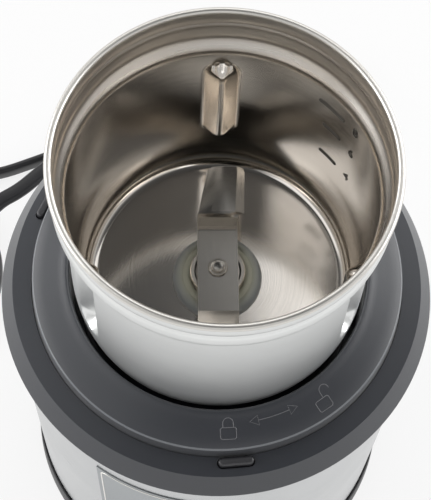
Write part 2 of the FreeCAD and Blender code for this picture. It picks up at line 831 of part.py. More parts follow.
def cup_base():
    """The moulded foot under the cup with three bayonet lugs."""
    inner = cup_base_radius - s.cup_base_wall
    hole = s.bush_radius + s.running_gap
    outline = [
        (hole, cup_under),
        (cup_floor_radius, cup_under),
        (cup_base_radius, cup_under - s.cup_base_wall),
        (cup_base_radius, cup_base_bottom),
        (inner, cup_base_bottom),
        (inner, cup_under - s.cup_base_plate),
        (hole, cup_under - s.cup_base_plate),
    ]
    body = revolved("cup_base_body", outline)
    lug_bottom = hook_underside - s.lug_gap - s.lug_height
    lugs = [
        sector(f"lug_{i}", cup_base_radius - s.cup_base_wall / 2, cup_base_radius + s.lug_reach,
               lug_bottom, s.lug_height, angle + TWIST - LUG_SWEEP / 2, LUG_SWEEP)
        for i, angle in enumerate(HOOK_ANGLES)
    ]
    keep("cup_base", fused("cup_base_solid", [body, *lugs]))


def bearing_bush():
    """The steel bush that passes through the cup's floor and carries the blade's shaft."""
    bore = s.shaft_radius + s.running_gap
    bottom = bush_top - s.bush_length
    outline = [
        (bore, bush_top),
        (s.bush_head_radius, bush_top),
        (s.bush_head_radius, cup_floor_height),
        (s.bush_radius, cup_floor_height),
        (s.bush_radius, bottom),
        (bore, bottom),
    ]
    keep("bearing_bush", rounded(revolved("bearing_bush_body", outline), s.seam_gap * 2,
                                 (s.bush_head_radius, bush_top)))


def bush_nut():
    """The hexagon nut that clamps the bush from below."""
    z = cup_under - s.cup_base_plate - s.nut_height
    prism = doc.addObject("Part::Prism", "bush_nut_hexagon")
    prism.Polygon = 6
    prism.Circumradius = number(s.nut_radius)
    prism.Height = number(s.nut_height)
    bind(prism, "Circumradius", s.nut_radius)
    bind(prism, "Height", s.nut_height)
    place(prism, z=z)
    hole = cylinder("bush_nut_hole", s.bush_radius + s.running_gap, s.nut_height, z=z)
    keep("bush_nut", cut("bush_nut_solid", prism, hole))


def floor_washer():
    """The round seal round the bush on the cup's floor, sloped at its edge."""
    inner = s.bush_head_radius + s.running_gap
    top = cup_floor_height + s.washer_height
    outline = [
        (inner, top),
        (s.washer_radius - s.washer_height / 2, top),
        (s.washer_radius, cup_floor_height + s.washer_height / 3),
        (s.washer_radius, cup_floor_height),
        (inner, cup_floor_height),
    ]
    keep("floor_washer", revolved("floor_washer_body", outline))


# Blade


def blade_section(y, z, left, right, crown):
    """Returns one cross-section of the blade, crowned across its width."""
    thick = number(s.blade_thickness)
    middle = (left + right) / 2
    lower = Part.Arc(Vector(left, y, z), Vector(middle, y, z + crown), Vector(right, y, z))
    upper = Part.Arc(Vector(right, y, z + thick), Vector(middle, y, z + thick + crown),
                     Vector(left, y, z + thick))
    if crown == 0:
        lower = Part.LineSegment(Vector(left, y, z), Vector(right, y, z))
        upper = Part.LineSegment(Vector(right, y, z + thick), Vector(left, y, z + thick))
    sides = [
        Part.LineSegment(Vector(right, y, z), Vector(right, y, z + thick)),
        Part.LineSegment(Vector(left, y, z + thick), Vector(left, y, z)),
    ]
    return Part.Wire([lower.toShape(), sides[0].toShape(), upper.toShape(), sides[1].toShape()])


def blade_arm(rise):
    """Returns one arm, from the hub through its step to its flared and crowned plate."""
    half = number(s.blade_width) / 2
    hub = number(s.blade_hub_half)
    run = number(s.blade_step_run)
    reach = number(blade_reach)
    flare = number(s.blade_flare)
    crown = number(s.blade_crown)
    z = number(blade_under)
    thick = number(s.blade_thickness)
    step = Part.makePolygon([
        Vector(0, hub - thick * 0.8, z), Vector(0, hub, z), Vector(0, hub + run, z + rise),
        Vector(0, hub + run + thick * 0.8, z + rise), Vector(0, hub + run + thick * 0.8, z + rise + thick),
        Vector(0, hub + run - thick * 0.3, z + rise + thick), Vector(0, hub - thick * 0.5, z + thick),
        Vector(0, hub - thick * 0.8, z + thick), Vector(0, hub - thick * 0.8, z),
    ])
    if rise < 0:
        step = Part.makePolygon([
            Vector(0, hub - thick * 0.8, z), Vector(0, hub - thick * 0.5, z),
            Vector(0, hub + run - thick * 0.3, z + rise), Vector(0, hub + run + thick * 0.8, z + rise),
            Vector(0, hub + run + thick * 0.8, z + rise + thick), Vector(0, hub + run, z + rise + thick),
            Vector(0, hub, z + thick), Vector(0, hub - thick * 0.8, z + thick),
            Vector(0, hub - thick * 0.8, z),
        ])
    riser = Part.Face(step).extrude(Vector(number(s.blade_width), 0, 0))
    riser.translate(Vector(-half, 0, 0))
    start = hub + run + thick * 0.4
    lift = rise / 6
    near = blade_section(start, z + rise, -half + 0.3, half + flare, 0.05)
    middle = blade_section(start + (reach - start) * 0.5, z + rise + lift / 2, -half + 1.6,
                           half + flare + 0.2, crown)
    far = blade_section(reach, z + rise + lift, -half + 3.0, half + flare + 0.3, crown)
    plate = Part.makeLoft([near, middle], True, True).fuse(Part.makeLoft([middle, far], True, True))
    return riser.fuse(plate)


def blade():
    """The stamped blade: one arm steps up and the other steps down."""
    half = number(s.blade_width) / 2
    hub = number(s.blade_hub_half)
    thick = number(s.blade_thickness)
    plate = Part.makeBox(half * 2, (hub - thick * 0.8) * 2, thick,
                         Vector(-half, -hub + thick * 0.8, number(blade_under)))
    rear = blade_arm(number(s.blade_step))
    front = blade_arm(-number(s.blade_step) * 0.78)
    front.rotate(Vector(), UP, 180)
    hole = Part.makeCylinder(number(s.stud_radius) + number(s.running_gap), thick * 3,
                             Vector(0, 0, number(blade_under) - thick))
    solid = plate.fuse([rear, front]).removeSplitter().cut(hole)
    keep("blade", shaped("blade_solid", solid, Placement(Vector(), Rotation(UP, BLADE_ANGLE))))


def blade_rivet():
    """The domed head that holds the blade on its shaft."""
    radius, height = number(s.rivet_radius), number(s.rivet_height)
    ball = (radius ** 2 + height ** 2) / (2 * height)
    top = number(blade_top)
    dome = Part.makeSphere(ball, Vector(0, 0, top + height - ball))
    disc = Part.makeCylinder(radius, height * 2, Vector(0, 0, top))
    keep("blade_rivet", shaped("blade_rivet_solid", dome.common(disc)))


def blade_shaft():
    """The blade's shaft with the stud that the rivet closes over."""
    bottom = cup_dog_bottom + s.blade_gap
    outline = [
        (0, bottom),
        (s.shaft_radius, bottom),
        (s.shaft_radius, blade_under),
        (s.stud_radius, blade_under),
        (s.stud_radius, blade_top),
        (0, blade_top),
    ]
    keep("blade_shaft", revolved("blade_shaft_body", outline))


def dog(label, plate_bottom, lug_bottom, lead):
    """One half of the drive: a disc on its shaft with three lugs."""
    height = s.dog_plate
    disc = tube(f"{label}_disc", s.shaft_radius + s.running_gap / 2, s.dog_radius, plate_bottom, height)
    inner = s.dog_radius - s.dog_lug_width
    lugs = [
        sector(f"{label}_lug_{i}", inner, s.dog_radius, lug_bottom, s.dog_lug + height / 2,
               angle + lead - 12, 24)
        for i, angle in enumerate(DOG_LUG_ANGLES)
    ]
    keep(label, fused(f"{label}_solid", [disc, *lugs]))


# Motor


def motor_shaft():
    """The motor's shaft from the fan up into the drive dog."""
    bottom = fan_top - s.fan_plate - s.fan_vane - s.shaft_tail
    keep("motor_shaft", cylinder("motor_shaft_solid", s.shaft_radius, motor_dog_top - bottom, z=bottom))


def bearings():
    """Two plain bearings that carry the motor's shaft."""
    bore = s.shaft_radius + s.running_gap
    for label, z in (("upper_bearing", upper_bearing_height), ("lower_bearing", s.lower_bearing_height)):
        keep(label, tube(f"{label}_solid", bore, s.bearing_radius, z, s.bearing_height))


def bracket(label, hub_bottom, plate_bottom):
    """One end frame of the motor: a hub round the bearing and a plate with bolt holes."""
    inner = s.bearing_radius + s.running_gap / 2
    hub_outer = s.bearing_radius + s.bracket_hub_wall
    hub = tube(f"{label}_hub", inner, hub_outer, hub_bottom, s.bearing_height)
    plate = tube(f"{label}_plate", hub_outer - 1, s.bracket_radius, plate_bottom, s.bracket_plate)
    holes = [
        cylinder(f"{label}_hole_{i}", s.bolt_radius + s.running_gap, s.bracket_plate * 3,
                 x=s.bolt_circle, z=plate_bottom - s.bracket_plate, angle=45 + i * 90)
        for i in range(4)
    ]
    holes += [
        cylinder(f"{label}_mount_hole_{i}", s.bolt_radius + s.running_gap, s.bracket_plate * 3,
                 x=s.mount_circle, z=plate_bottom - s.bracket_plate, angle=i * 90)
        for i in range(4)
    ]
    windows = [
        sector(f"{label}_window_{i}", s.bearing_radius * 1.7, s.mount_circle * 0.84,
               plate_bottom - 1, s.bracket_plate + 2, i * 90 + 15, 60)
        for i in range(4)
    ]
    whole = fused(f"{label}_whole", [hub, plate])
    keep(label, cut(f"{label}_solid", whole, fused(f"{label}_cuts", holes + windows)))


def motor_bolts():
    """Four long bolts that clamp the end frames and the stator."""
    bottom = s.lower_bearing_height - s.bracket_plate / 2
    bolts = []
    for i in range(4):
        angle = 45 + i * 90
        length = upper_plate_top - bottom
        shank = cylinder(f"bolt_shank_{i}", s.bolt_radius, length, x=s.bolt_circle, z=bottom, angle=angle)
        head = cylinder(f"bolt_head_{i}", s.bolt_radius * 1.7, s.bracket_plate / 2, x=s.bolt_circle,
                        z=s.lower_bearing_height - s.bracket_plate / 2, angle=angle)
        bolts.append(fused(f"bolt_{i}", [shank, head]))
    keep("motor_bolts", group("motor_bolts_set", bolts))


def motor_stator():
    """The laminated stator with two poles."""
    inner = s.stator_radius - s.stator_ring
    ring = tube("stator_ring_part", inner, s.stator_radius, stack_bottom, stack_height)
    poles = [
        sector(f"pole_{i}", s.armature_radius + s.air_gap, inner + 1, stack_bottom, stack_height,
               angle - 48, 96)
        for i, angle in enumerate((0, 180))
    ]
    feet = [
        cylinder(f"stator_ear_{i}", s.bolt_radius * 2.2, stack_height, x=s.bolt_circle - 0.7,
                 z=stack_bottom, angle=45 + i * 90)
        for i in range(4)
    ]
    holes = [
        cylinder(f"stator_hole_{i}", s.bolt_radius + s.running_gap, stack_height, x=s.bolt_circle,
                 z=stack_bottom, angle=45 + i * 90)
        for i in range(4)
    ]
    whole = fused("stator_whole", [ring, *poles, *feet])
    keep("motor_stator", cut("motor_stator_solid", whole, fused("stator_holes", holes)))


def field_coils():
    """Two saddle coils round the poles."""
    inner = s.armature_radius + s.air_gap * 2
    outer = s.stator_radius - s.stator_ring - s.air_gap
    bulge = s.winding_bulge - s.air_gap
    stack_top = stack_bottom + stack_height
    coils = []
    for i, angle in enumerate((0, 180)):
        pieces = [
            sector(f"coil_low_{i}", inner, outer, stack_bottom - bulge, bulge, angle - 66, 132),
            sector(f"coil_high_{i}", inner, outer, stack_top, bulge, angle - 66, 132),
        ]
        for k, start in enumerate((angle - 66, angle + 51)):
            pieces.append(sector(f"coil_leg_{i}_{k}", inner, outer, stack_bottom - 1,
                                 stack_height + 2, start, 15))
        coils.append(fused(f"coil_{i}", pieces))
    keep("field_coils", group("field_coils_set", coils))


def armature_core():
    """The laminated rotor with twelve slots."""
    hole = s.shaft_radius + s.running_gap / 2
    core = tube("armature_disc", hole, s.armature_radius, stack_bottom, stack_height)
    depth = s.armature_radius * 0.45
    slots = [
        box(f"armature_slot_{i}", depth, s.armature_slot, stack_height, x=s.armature_radius - depth / 3,
            z=stack_bottom, angle=i * 30)
        for i in range(12)
    ]
    keep("armature_core", cut("armature_core_solid", core, fused("armature_slots", slots)))


def armature_winding():
    """The copper end turns below and above the rotor."""
    inner = s.shaft_radius + 2
    outer = s.armature_radius - 1.5
    stack_top = stack_bottom + stack_height
    ends = []
    for name, bottom in (("low", stack_bottom - s.winding_bulge), ("high", stack_top)):
        outline = [(inner, bottom), (outer, bottom), (outer, bottom + s.winding_bulge),
                   (inner, bottom + s.winding_bulge)]
        far = bottom if name == "low" else bottom + s.winding_bulge
        ends.append(rounded(revolved(f"winding_{name}", outline), s.winding_bulge / 2, (outer, far)))
    keep("armature_winding", group("armature_winding_set", ends))


def commutator():
    """The copper commutator on the shaft."""
    hole = s.shaft_radius + s.running_gap / 2
    ring = tube("commutator_ring", hole, s.commutator_radius, commutator_bottom, s.commutator_height)
    slots = [
        box(f"commutator_slot_{i}", 1.5, 0.4, s.commutator_height, x=s.commutator_radius,
            z=commutator_bottom, angle=i * 15)
        for i in range(24)
    ]
    keep("commutator", cut("commutator_solid", ring, fused("commutator_slots", slots)))


def brushes():
    """Two carbon brushes in brass boxes that stand on the lower end frame."""
    side = s.brush_side
    wall = s.brush_box_wall
    middle_z = commutator_bottom + s.commutator_height / 2
    start = s.commutator_radius + s.running_gap
    carbons = []
    holders = []
    foot_bottom = s.lower_bearing_height + s.bracket_plate
    for i, angle in enumerate((90, 270)):
        carbons.append(box(f"carbon_{i}", s.brush_length, side, side, x=start + s.brush_length / 2,
                           z=middle_z - side / 2, angle=angle))
        centre = start + s.brush_length * 0.75
        outer = box(f"holder_outer_{i}", s.brush_length, side + wall * 2, side + wall * 2, x=centre,
                    z=middle_z - side / 2 - wall, angle=angle)
        hole = box(f"holder_hole_{i}", s.brush_length * 2, side + s.running_gap * 2,
                   side + s.running_gap * 2, x=centre, z=middle_z - side / 2 - s.running_gap, angle=angle)
        box_part = cut(f"holder_box_{i}", outer, hole)
        leg = box(f"holder_leg_{i}", s.brush_length / 2, side, middle_z - side / 2 - foot_bottom,
                  x=centre + s.brush_length / 4, z=foot_bottom, angle=angle)
        leg_cut = cut(f"holder_leg_cut_{i}", leg, hole)
        holders.append(fused(f"holder_{i}", [box_part, leg_cut]))
    keep("carbon_brushes", group("carbon_brushes_set", carbons))
    keep("brush_holders", group("brush_holders_set", holders))


def cooling_fan():
    """The fan on the lower end of the motor's shaft."""
    hole = s.shaft_radius + s.running_gap / 2
    disc = tube("fan_disc", hole, fan_radius, fan_top - s.fan_plate, s.fan_plate)
    hub = tube("fan_hub", hole, s.shaft_radius * 2.2, fan_top - s.fan_plate - s.fan_vane, s.fan_vane + 1)
    length = fan_radius - s.shaft_radius * 2
    vanes = [
        box(f"vane_{i}", length, 1.2, s.fan_vane + 0.5, x=fan_radius - length / 2 - 0.3,
            z=fan_top - s.fan_plate - s.fan_vane, angle=i * 30)
        for i in range(12)
    ]
    keep("cooling_fan", fused("cooling_fan_solid", [disc, hub, *vanes]))


def motor_mounts():
    """Four rubber mounts and screws that hang the motor from the floor of the well."""
    height = socket_under - upper_plate_top
    mounts = []
    screws = []
    screw_bottom = upper_plate_top - s.bracket_plate - s.bolt_radius
    for i in range(4):
        angle = i * 90
        ring = cylinder(f"mount_ring_{i}", s.mount_radius, height, x=s.mount_circle, z=upper_plate_top,
                        angle=angle)
        hole = cylinder(f"mount_hole_{i}", s.bolt_radius + s.running_gap, height, x=s.mount_circle,
                        z=upper_plate_top, angle=angle)
        mounts.append(cut(f"mount_{i}", ring, hole))
        head = cylinder(f"screw_head_{i}", s.bolt_radius * 1.8, s.bolt_radius, x=s.mount_circle,
                        z=screw_bottom, angle=angle)
        shank = cylinder(f"screw_shank_{i}", s.bolt_radius, socket_under + s.screw_bite - screw_bottom,
                         x=s.mount_circle, z=screw_bottom, angle=angle)
        screws.append(fused(f"screw_{i}", [head, shank]))
    keep("motor_mounts", group("motor_mounts_set", mounts))
    keep("mount_screws", group("mount_screws_set", screws))
    return screws


def shaft_seal():
    """The lip seal where the motor's shaft leaves the floor of the well."""
    keep("shaft_seal", tube("shaft_seal_solid", s.shaft_radius + s.running_gap, s.shaft_radius * 2,
                            socket_under, s.socket_floor + s.hub_rise - s.seal_drop))


def electrics():
    """The interference capacitor, the terminal block and the lead's clamp on the bottom plate."""
    keep("capacitor", box("capacitor_solid", s.capacitor_width, s.capacitor_length, s.capacitor_height,
                          x=-fan_radius - s.capacitor_gap - s.capacitor_width / 2,
                          y=s.capacitor_length / 2, z=plate_top))
    terminal_start = fan_radius + s.terminal_gap
    keep("terminal_block", box("terminal_block_solid", s.terminal_width, s.terminal_side, s.terminal_side,
                               y=terminal_start + s.terminal_side / 2, z=plate_top))
    lead_y = terminal_start + s.terminal_side
    reach = base_radius - s.base_wall - s.relief_inside + s.seam_gap - lead_y
    lead = doc.addObject("Part::Cylinder", "inner_lead_solid")
    bind(lead, "Radius", cord_radius)
    bind(lead, "Height", reach)
    lead.Placement = Placement(Vector(0, number(lead_y), number(s.cord_exit_height)),
                               Rotation(Vector(1, 0, 0), -90))
    bind(lead, "Placement.Base.y", lead_y)
    bind(lead, "Placement.Base.z", s.cord_exit_height)
    keep("inner_lead", lead)
    clamp = box("clamp_block", s.clamp_width, s.clamp_depth,
                s.cord_exit_height + cord_radius - plate_top + s.clamp_cover,
                y=lead_y + s.clamp_gap + s.clamp_depth / 2, z=plate_top)
    hole = doc.addObject("Part::Cylinder", "clamp_hole")
    bind(hole, "Radius", cord_radius + s.running_gap)
    bind(hole, "Height", reach * 2)
    hole.Placement = lead.Placement
    bind(hole, "Placement.Base.y", lead_y - 5)
    bind(hole, "Placement.Base.z", s.cord_exit_height)
    keep("cord_clamp", cut("cord_clamp_solid", clamp, hole))


def base_screws():
    """Four screws that hold the bottom plate to the bosses in the base ring."""
    length = s.plate_thickness + s.boss_height * 0.8
    screws = [
        cylinder(f"base_screw_{i}", s.bolt_radius, length, x=boss_circle, z=s.base_clearance, angle=angle)
        for i, angle in enumerate(BOSS_ANGLES)
    ]
    keep("base_screws", group("base_screws_set", screws))


# Lead


def cord_route():
    """The points of the lead from its boot, out of the back and round to the left, to the coil."""
    end = coil_end(first=True)
    return [
        (0, relief_end(), s.cord_exit_height), (0, 82.5, s.cord_exit_height), (-5, 93.5, 7.2),
        (-17, 101, 4.4), (-34, 100, cord_radius), (-50, 94.9, cord_radius), (-64.5, 90.5, cord_radius),
        tuple(end[0] - end[1] * 10), tuple(end[0]),
    ]


def tail_route():
    """The points of the lead from the coil, over itself, to the plug behind the body."""
    end = coil_end(first=False)
    rest = 9.6
    return [
        tuple(end[0]), tuple(end[0] + end[1] * 9.5), (-64.5, 76.7, rest), (-56.5, 80.5, rest),
        (-49.1, 86.7, rest), (-38, 94.8, rest), (-26, 104, 9.0), (-12, 111.6, 7.4),
        (-1, PLUG_SPOT.y, s.plug_height / 2), (PLUG_SPOT.x, PLUG_SPOT.y, s.plug_height / 2),
    ]


PLUG_SPOT = Vector(8, 114, 0)
COIL_CENTRE = Vector(-97.9, 57, 0)
COIL_START = 78.0
COIL_REVERSE = 3.5
COIL_TURNS = (5 * 360 - 78 - 8) / 360
COIL_EASE = 0.8


def along_route(points):
    """Returns a wire of straight runs joined by tangent arcs, and the arcs' radii."""
    spots = [Vector(*[number(v) for v in p]) for p in points]
    edges = []
    radii = []
    start = spots[0]
    for before, corner, after in zip(spots, spots[1:], spots[2:]):
        first, second = corner - before, after - corner
        turn = first.getAngle(second)
        reach = 0.45 * min(first.Length, second.Length)
        radii.append(reach / math.tan(turn / 2))
        inward = Vector(first).normalize() * -1
        outward = Vector(second).normalize()
        entry = corner + inward * reach
        leave = corner + outward * reach
        bisector = (inward + outward).normalize()
        sagitta = reach / math.cos(math.pi / 2 - turn / 2) - radii[-1]
        middle = corner + bisector * sagitta
        edges.append(Part.LineSegment(start, entry).toShape())
        edges.append(Part.Arc(entry, middle, leave).toShape())
        start = leave
    edges.append(Part.LineSegment(start, spots[-1]).toShape())
    return Part.Wire(edges), radii


def cord_tube(label, points):
    """Sweeps the lead's round section along a route and prints its length, radii and volume."""
    wire, radii = along_route(points)
    radius = number(cord_radius)
    first = wire.Edges[0]
    profile = Part.Wire(Part.makeCircle(radius, first.valueAt(first.FirstParameter),
                                        first.tangentAt(first.FirstParameter)))
    solid = wire.makePipeShell([profile], True, False)
    expected = math.pi * radius ** 2 * wire.Length
    print(f"{label}: length {wire.Length:.1f}, radii {[round(r, 1) for r in radii]},"
          f" volume {solid.Volume:.0f} of {expected:.0f}")
    keep(label, shaped(f"{label}_solid", solid))


def coil_point(turn):
    """Returns a point of the coil, which spirals in, climbs where it reverses and spirals out."""
    pitch = number(s.cord_diameter) + number(s.coil_gap)
    past = turn - COIL_REVERSE
    inmost = number(s.coil_start_radius) - pitch * COIL_REVERSE
    radius = inmost + math.hypot(pitch * past, COIL_EASE)
    share = min(max(past * 2 + 0.5, 0), 1)
    z = number(cord_radius) + pitch * (1 - math.cos(math.pi * share)) / 2
    angle = math.radians(COIL_START) + turn * 2 * math.pi
    return COIL_CENTRE + Vector(radius * math.cos(angle), radius * math.sin(angle), z)


def coil_end(first):
    """Returns the end of the straight bit at one end of the coil, and its heading along the lead."""
    turn = 0 if first else COIL_TURNS
    heading = coil_point(turn + 0.002) - coil_point(turn - 0.002)
    heading.z = 0
    heading.normalize()
    reach = heading * (number(s.cord_diameter) * (-1 if first else 1))
    return coil_point(turn) + reach, heading


def coil_wire():
    """Returns the coil's line as one smooth curve that runs nearly straight at each end."""
    steps = round(COIL_TURNS * 24)
    points = [coil_point(i * COIL_TURNS / steps) for i in range(steps + 1)]
    curve = Part.BSplineCurve()
    curve.interpolate([coil_end(first=True)[0], *points, coil_end(first=False)[0]])
    return Part.Wire([curve.toShape()])


def least_gap():
    """Returns the least gap between the coil's turns, measured on points."""
    count = 480
    points = [coil_point(i * COIL_TURNS / count) for i in range(count + 1)]
    skip = count / COIL_TURNS * 0.5
    least = min(
        (points[i] - points[j]).Length
        for i in range(count + 1)
        for j in range(i + 1, count + 1)
        if j - i > skip
    )
    return least - number(s.cord_diameter)


def cord_coil():
    """The part of the lead that is put away in a round coil."""
    wire = coil_wire()
    radius = number(cord_radius)
    first = wire.Edges[0]
    profile = Part.Wire(Part.makeCircle(radius, first.valueAt(first.FirstParameter),
                                        first.tangentAt(first.FirstParameter)))
    solid = wire.makePipeShell([profile], True, False)
    expected = math.pi * radius ** 2 * wire.Length
    print(f"cord_coil: length {wire.Length:.1f}, least gap {least_gap():.2f},"
          f" volume {solid.Volume:.0f} of {expected:.0f}")
    keep("cord_coil", shaped("cord_coil_solid", solid))


def relief_end():
    """Returns how far out the boot reaches."""
    return base_radius + s.relief_length


def strain_relief():
    """The tapered boot where the lead leaves the base."""
    bore = cord_radius + s.running_gap
    start = base_radius - s.base_wall - s.relief_inside
    collar_end = s.relief_inside + s.base_wall + 1
    end = s.relief_inside + s.base_wall + s.relief_length
    outline = [
        (bore, 0),
        (s.relief_collar, 0),
        (s.relief_collar, s.relief_inside - 0.6),
        (s.relief_tip, s.relief_inside - 0.6),
        (s.relief_tip, end),
        (bore, end),
    ]
    boot = revolved("strain_relief_body", outline)
    boot.Placement = Placement(Vector(0, number(start), number(s.cord_exit_height)),
                               Rotation(Vector(1, 0, 0), -90))
    bind(boot, "Placement.Base.y", start)
    bind(boot, "Placement.Base.z", s.cord_exit_height)
    keep("strain_relief", boot)


def plug():
    """A flat two-pin plug at the end of the lead, with its pins."""
    x, y, z = PLUG_SPOT.x, PLUG_SPOT.y, number(s.plug_height) / 2
    width, height = number(s.plug_width), number(s.plug_height)
    neck, length = number(s.plug_neck), number(s.plug_length)

    def section(at, wide, tall):
        points = [
            Vector(x + at, y - wide / 2, z - tall / 4), Vector(x + at, y - wide / 2 + tall / 4, z - tall / 2),
            Vector(x + at, y + wide / 2 - tall / 4, z - tall / 2), Vector(x + at, y + wide / 2, z - tall / 4),
            Vector(x + at, y + wide / 2, z + tall / 4), Vector(x + at, y + wide / 2 - tall / 4, z + tall / 2),
            Vector(x + at, y - wide / 2 + tall / 4, z + tall / 2), Vector(x + at, y - wide / 2, z + tall / 4),
        ]
        return Part.makePolygon(points + points[:1])

    sections = [section(0, neck, neck), section(length * 0.3, neck * 1.5, neck * 1.1),
                section(length * 0.75, width * 0.8, height), section(length, width, height)]
    body = Part.makeLoft(sections, True, True)
    keep("plug_body", shaped("plug_body_solid", body))
    pins = []
    for sign in (-1, 1):
        spot = Vector(x + length, y + sign * number(s.pin_spacing) / 2, z)
        pins.append(Part.makeCylinder(number(s.pin_radius), number(s.pin_length), spot, Vector(1, 0, 0)))
    keep("plug_pins", shaped("plug_pins_solid", Part.makeCompound(pins)))


def build():
    """Builds every sub-part in order from the base up."""
    base_ring()
    bottom_plate()
    rubber_feet()
    base_screws()
    steel_shell()
    front_label()
    top_ring()
    cup_socket()
    seat_ring()
    shaft_seal()
    for side, angle in PAD_ANGLES.items():
        switch_set(side, angle)
    switch_contacts()
    motor_shaft()
    bearings()
    bracket("upper_bracket", upper_bearing_height, upper_plate_top - s.bracket_plate)
    bracket("lower_bracket", s.lower_bearing_height, s.lower_bearing_height)
    motor_bolts()
    motor_stator()
    field_coils()
    armature_core()
    armature_winding()
    commutator()
    brushes()
    cooling_fan()
    motor_mounts()
    dog("motor_dog", motor_dog_bottom, motor_dog_bottom + s.dog_plate / 2, 0)
    electrics()
    cup_shell()
    cup_base()
    bearing_bush()
    bush_nut()
    floor_washer()
    blade()
    blade_rivet()
    blade_shaft()
    dog("cup_dog", cup_dog_bottom, cup_dog_bottom - s.dog_lug, DOG_LEAD)
    strain_relief()
    cord_tube("power_cord", cord_route())
    cord_coil()
    cord_tube("cord_tail", tail_route())
    plug()


def check_all():
    """Stops if an object failed or a sub-part's shape is empty or not valid."""
    doc.recompute()
    for thing in doc.Objects:
        if {"Invalid", "Error"} & set(thing.State):
            raise RuntimeError(f"{thing.Name} failed: {thing.State}")
    for label, thing in parts.items():
        shape = thing.Shape
        if shape.isNull() or not shape.isValid() or not shape.Solids:
            raise RuntimeError(f"{label} has no valid solid")


def export():
    """Writes each sub-part to its own file."""
    os.makedirs("parts", exist_ok=True)
    for label, thing in parts.items():
        thing.Shape.exportStep(f"parts/{label}.step")
    print(f"{len(parts)} parts written")


build()
check_all()
export()
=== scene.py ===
"""Electric spice grinder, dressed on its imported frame: metres, +Z up, front towards -Y."""

import logging
import math
from dataclasses import dataclass, field
from enum import Enum

import bmesh
import bpy
from mathutils import Matrix, Vector


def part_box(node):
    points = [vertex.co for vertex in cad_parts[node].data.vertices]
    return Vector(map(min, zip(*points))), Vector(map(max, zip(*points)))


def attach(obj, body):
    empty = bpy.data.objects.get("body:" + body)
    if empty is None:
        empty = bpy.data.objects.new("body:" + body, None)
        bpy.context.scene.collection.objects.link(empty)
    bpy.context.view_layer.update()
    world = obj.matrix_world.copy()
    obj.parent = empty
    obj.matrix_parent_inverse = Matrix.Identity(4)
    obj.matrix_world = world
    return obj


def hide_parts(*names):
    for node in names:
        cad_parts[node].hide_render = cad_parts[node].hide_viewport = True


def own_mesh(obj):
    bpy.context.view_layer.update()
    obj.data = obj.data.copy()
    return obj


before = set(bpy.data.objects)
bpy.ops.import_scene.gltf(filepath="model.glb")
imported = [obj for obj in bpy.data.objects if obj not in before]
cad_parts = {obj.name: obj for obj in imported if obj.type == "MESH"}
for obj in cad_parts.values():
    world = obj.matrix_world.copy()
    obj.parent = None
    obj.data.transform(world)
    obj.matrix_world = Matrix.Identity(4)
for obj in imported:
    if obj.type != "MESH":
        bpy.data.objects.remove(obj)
log = logging.getLogger("grinder")

MM = 0.001
FULL = 2 * math.pi
Pair = tuple[float, float]
Triple = tuple[float, float, float]
Outline = list[Pair]


# Shader tools


class Value:
    """One number of a shader, which adds a Math node for each operator used on it."""

    def __init__(self, shader: "Shader", socket: bpy.types.NodeSocket) -> None:
        """Keeps the shader that the number is part of and the output that holds it."""
        self.shader = shader
        self.socket = socket

    def math(self, operation: str, other: "Value | float" = 0.0, swapped: bool = False) -> "Value":
        """Adds one Math node.

        Args:
            operation: the node's operation.
            other: the second number.
            swapped: whether the second number comes first.

        Returns:
            The result as a new value.
        """
        pair = (other, self) if swapped else (self, other)
        made = self.shader.node("ShaderNodeMath", {"operation": operation}, dict(enumerate(pair)))
        return Value(self.shader, made.outputs[0])

    def __add__(self, other: "Value | float") -> "Value":
        """Returns the sum."""
        return self.math("ADD", other)

    def __sub__(self, other: "Value | float") -> "Value":
        """Returns the difference."""
        return self.math("SUBTRACT", other)

    def __rsub__(self, other: float) -> "Value":
        """Returns the difference from a plain number."""
        return self.math("SUBTRACT", other, swapped=True)

    def __mul__(self, other: "Value | float") -> "Value":
        """Returns the product."""
        return self.math("MULTIPLY", other)

    def __pow__(self, other: float) -> "Value":
        """Returns the power."""
        return self.math("POWER", other)

    def clamped(self) -> "Value":
        """Returns the number held between nought and one."""
        return self.math("MAXIMUM", 0.0).math("MINIMUM", 1.0)


class Nodes:
    """The nodes of a material or of the world."""

    def __init__(self, owner: bpy.types.Material | bpy.types.World) -> None:
        """Takes away the nodes that are there at first.

        Args:
            owner: the material or the world.
        """
        owner.use_nodes = True
        self.tree = owner.node_tree
        self.tree.nodes.clear()

    def node(self, kind: str, settings: dict[str, object], sockets: dict[str | int, object]) -> bpy.types.Node:
        """Adds one node.

        Args:
            kind: the node's type.
            settings: its own settings; "stops" fills a ramp with places and colours.
            sockets: values or links for its inputs.

        Returns:
            The new node.
        """
        made = self.tree.nodes.new(kind)
        for key, setting in settings.items():
            if key == "stops":
                self.fill_ramp(made.color_ramp, setting)
            else:
                setattr(made, key, setting)
        for key, value in sockets.items():
            self.feed(made.inputs[key], value)
        return made

    def feed(self, target: bpy.types.NodeSocket, value: object) -> None:
        """Sets an input, or links it where the value comes from another node.

        Args:
            target: the input.
            value: the number, colour, vector, output or Value for it.
        """
        if isinstance(value, Value):
            value = value.socket
        if isinstance(value, bpy.types.NodeSocket):
            self.tree.links.new(value, target)
        else:
            target.default_value = value

    @staticmethod
    def fill_ramp(ramp: bpy.types.ColorRamp, stops: list[tuple[float, tuple[float, ...]]]) -> None:
        """Sets a ramp's stops.

        Args:
            ramp: the ramp.
            stops: each stop's place and colour.
        """
        while len(ramp.elements) < len(stops):
            ramp.elements.new(0.5)
        for element, (place, colour) in zip(ramp.elements, stops):
            element.position = place
            element.color = (*colour, 1.0)


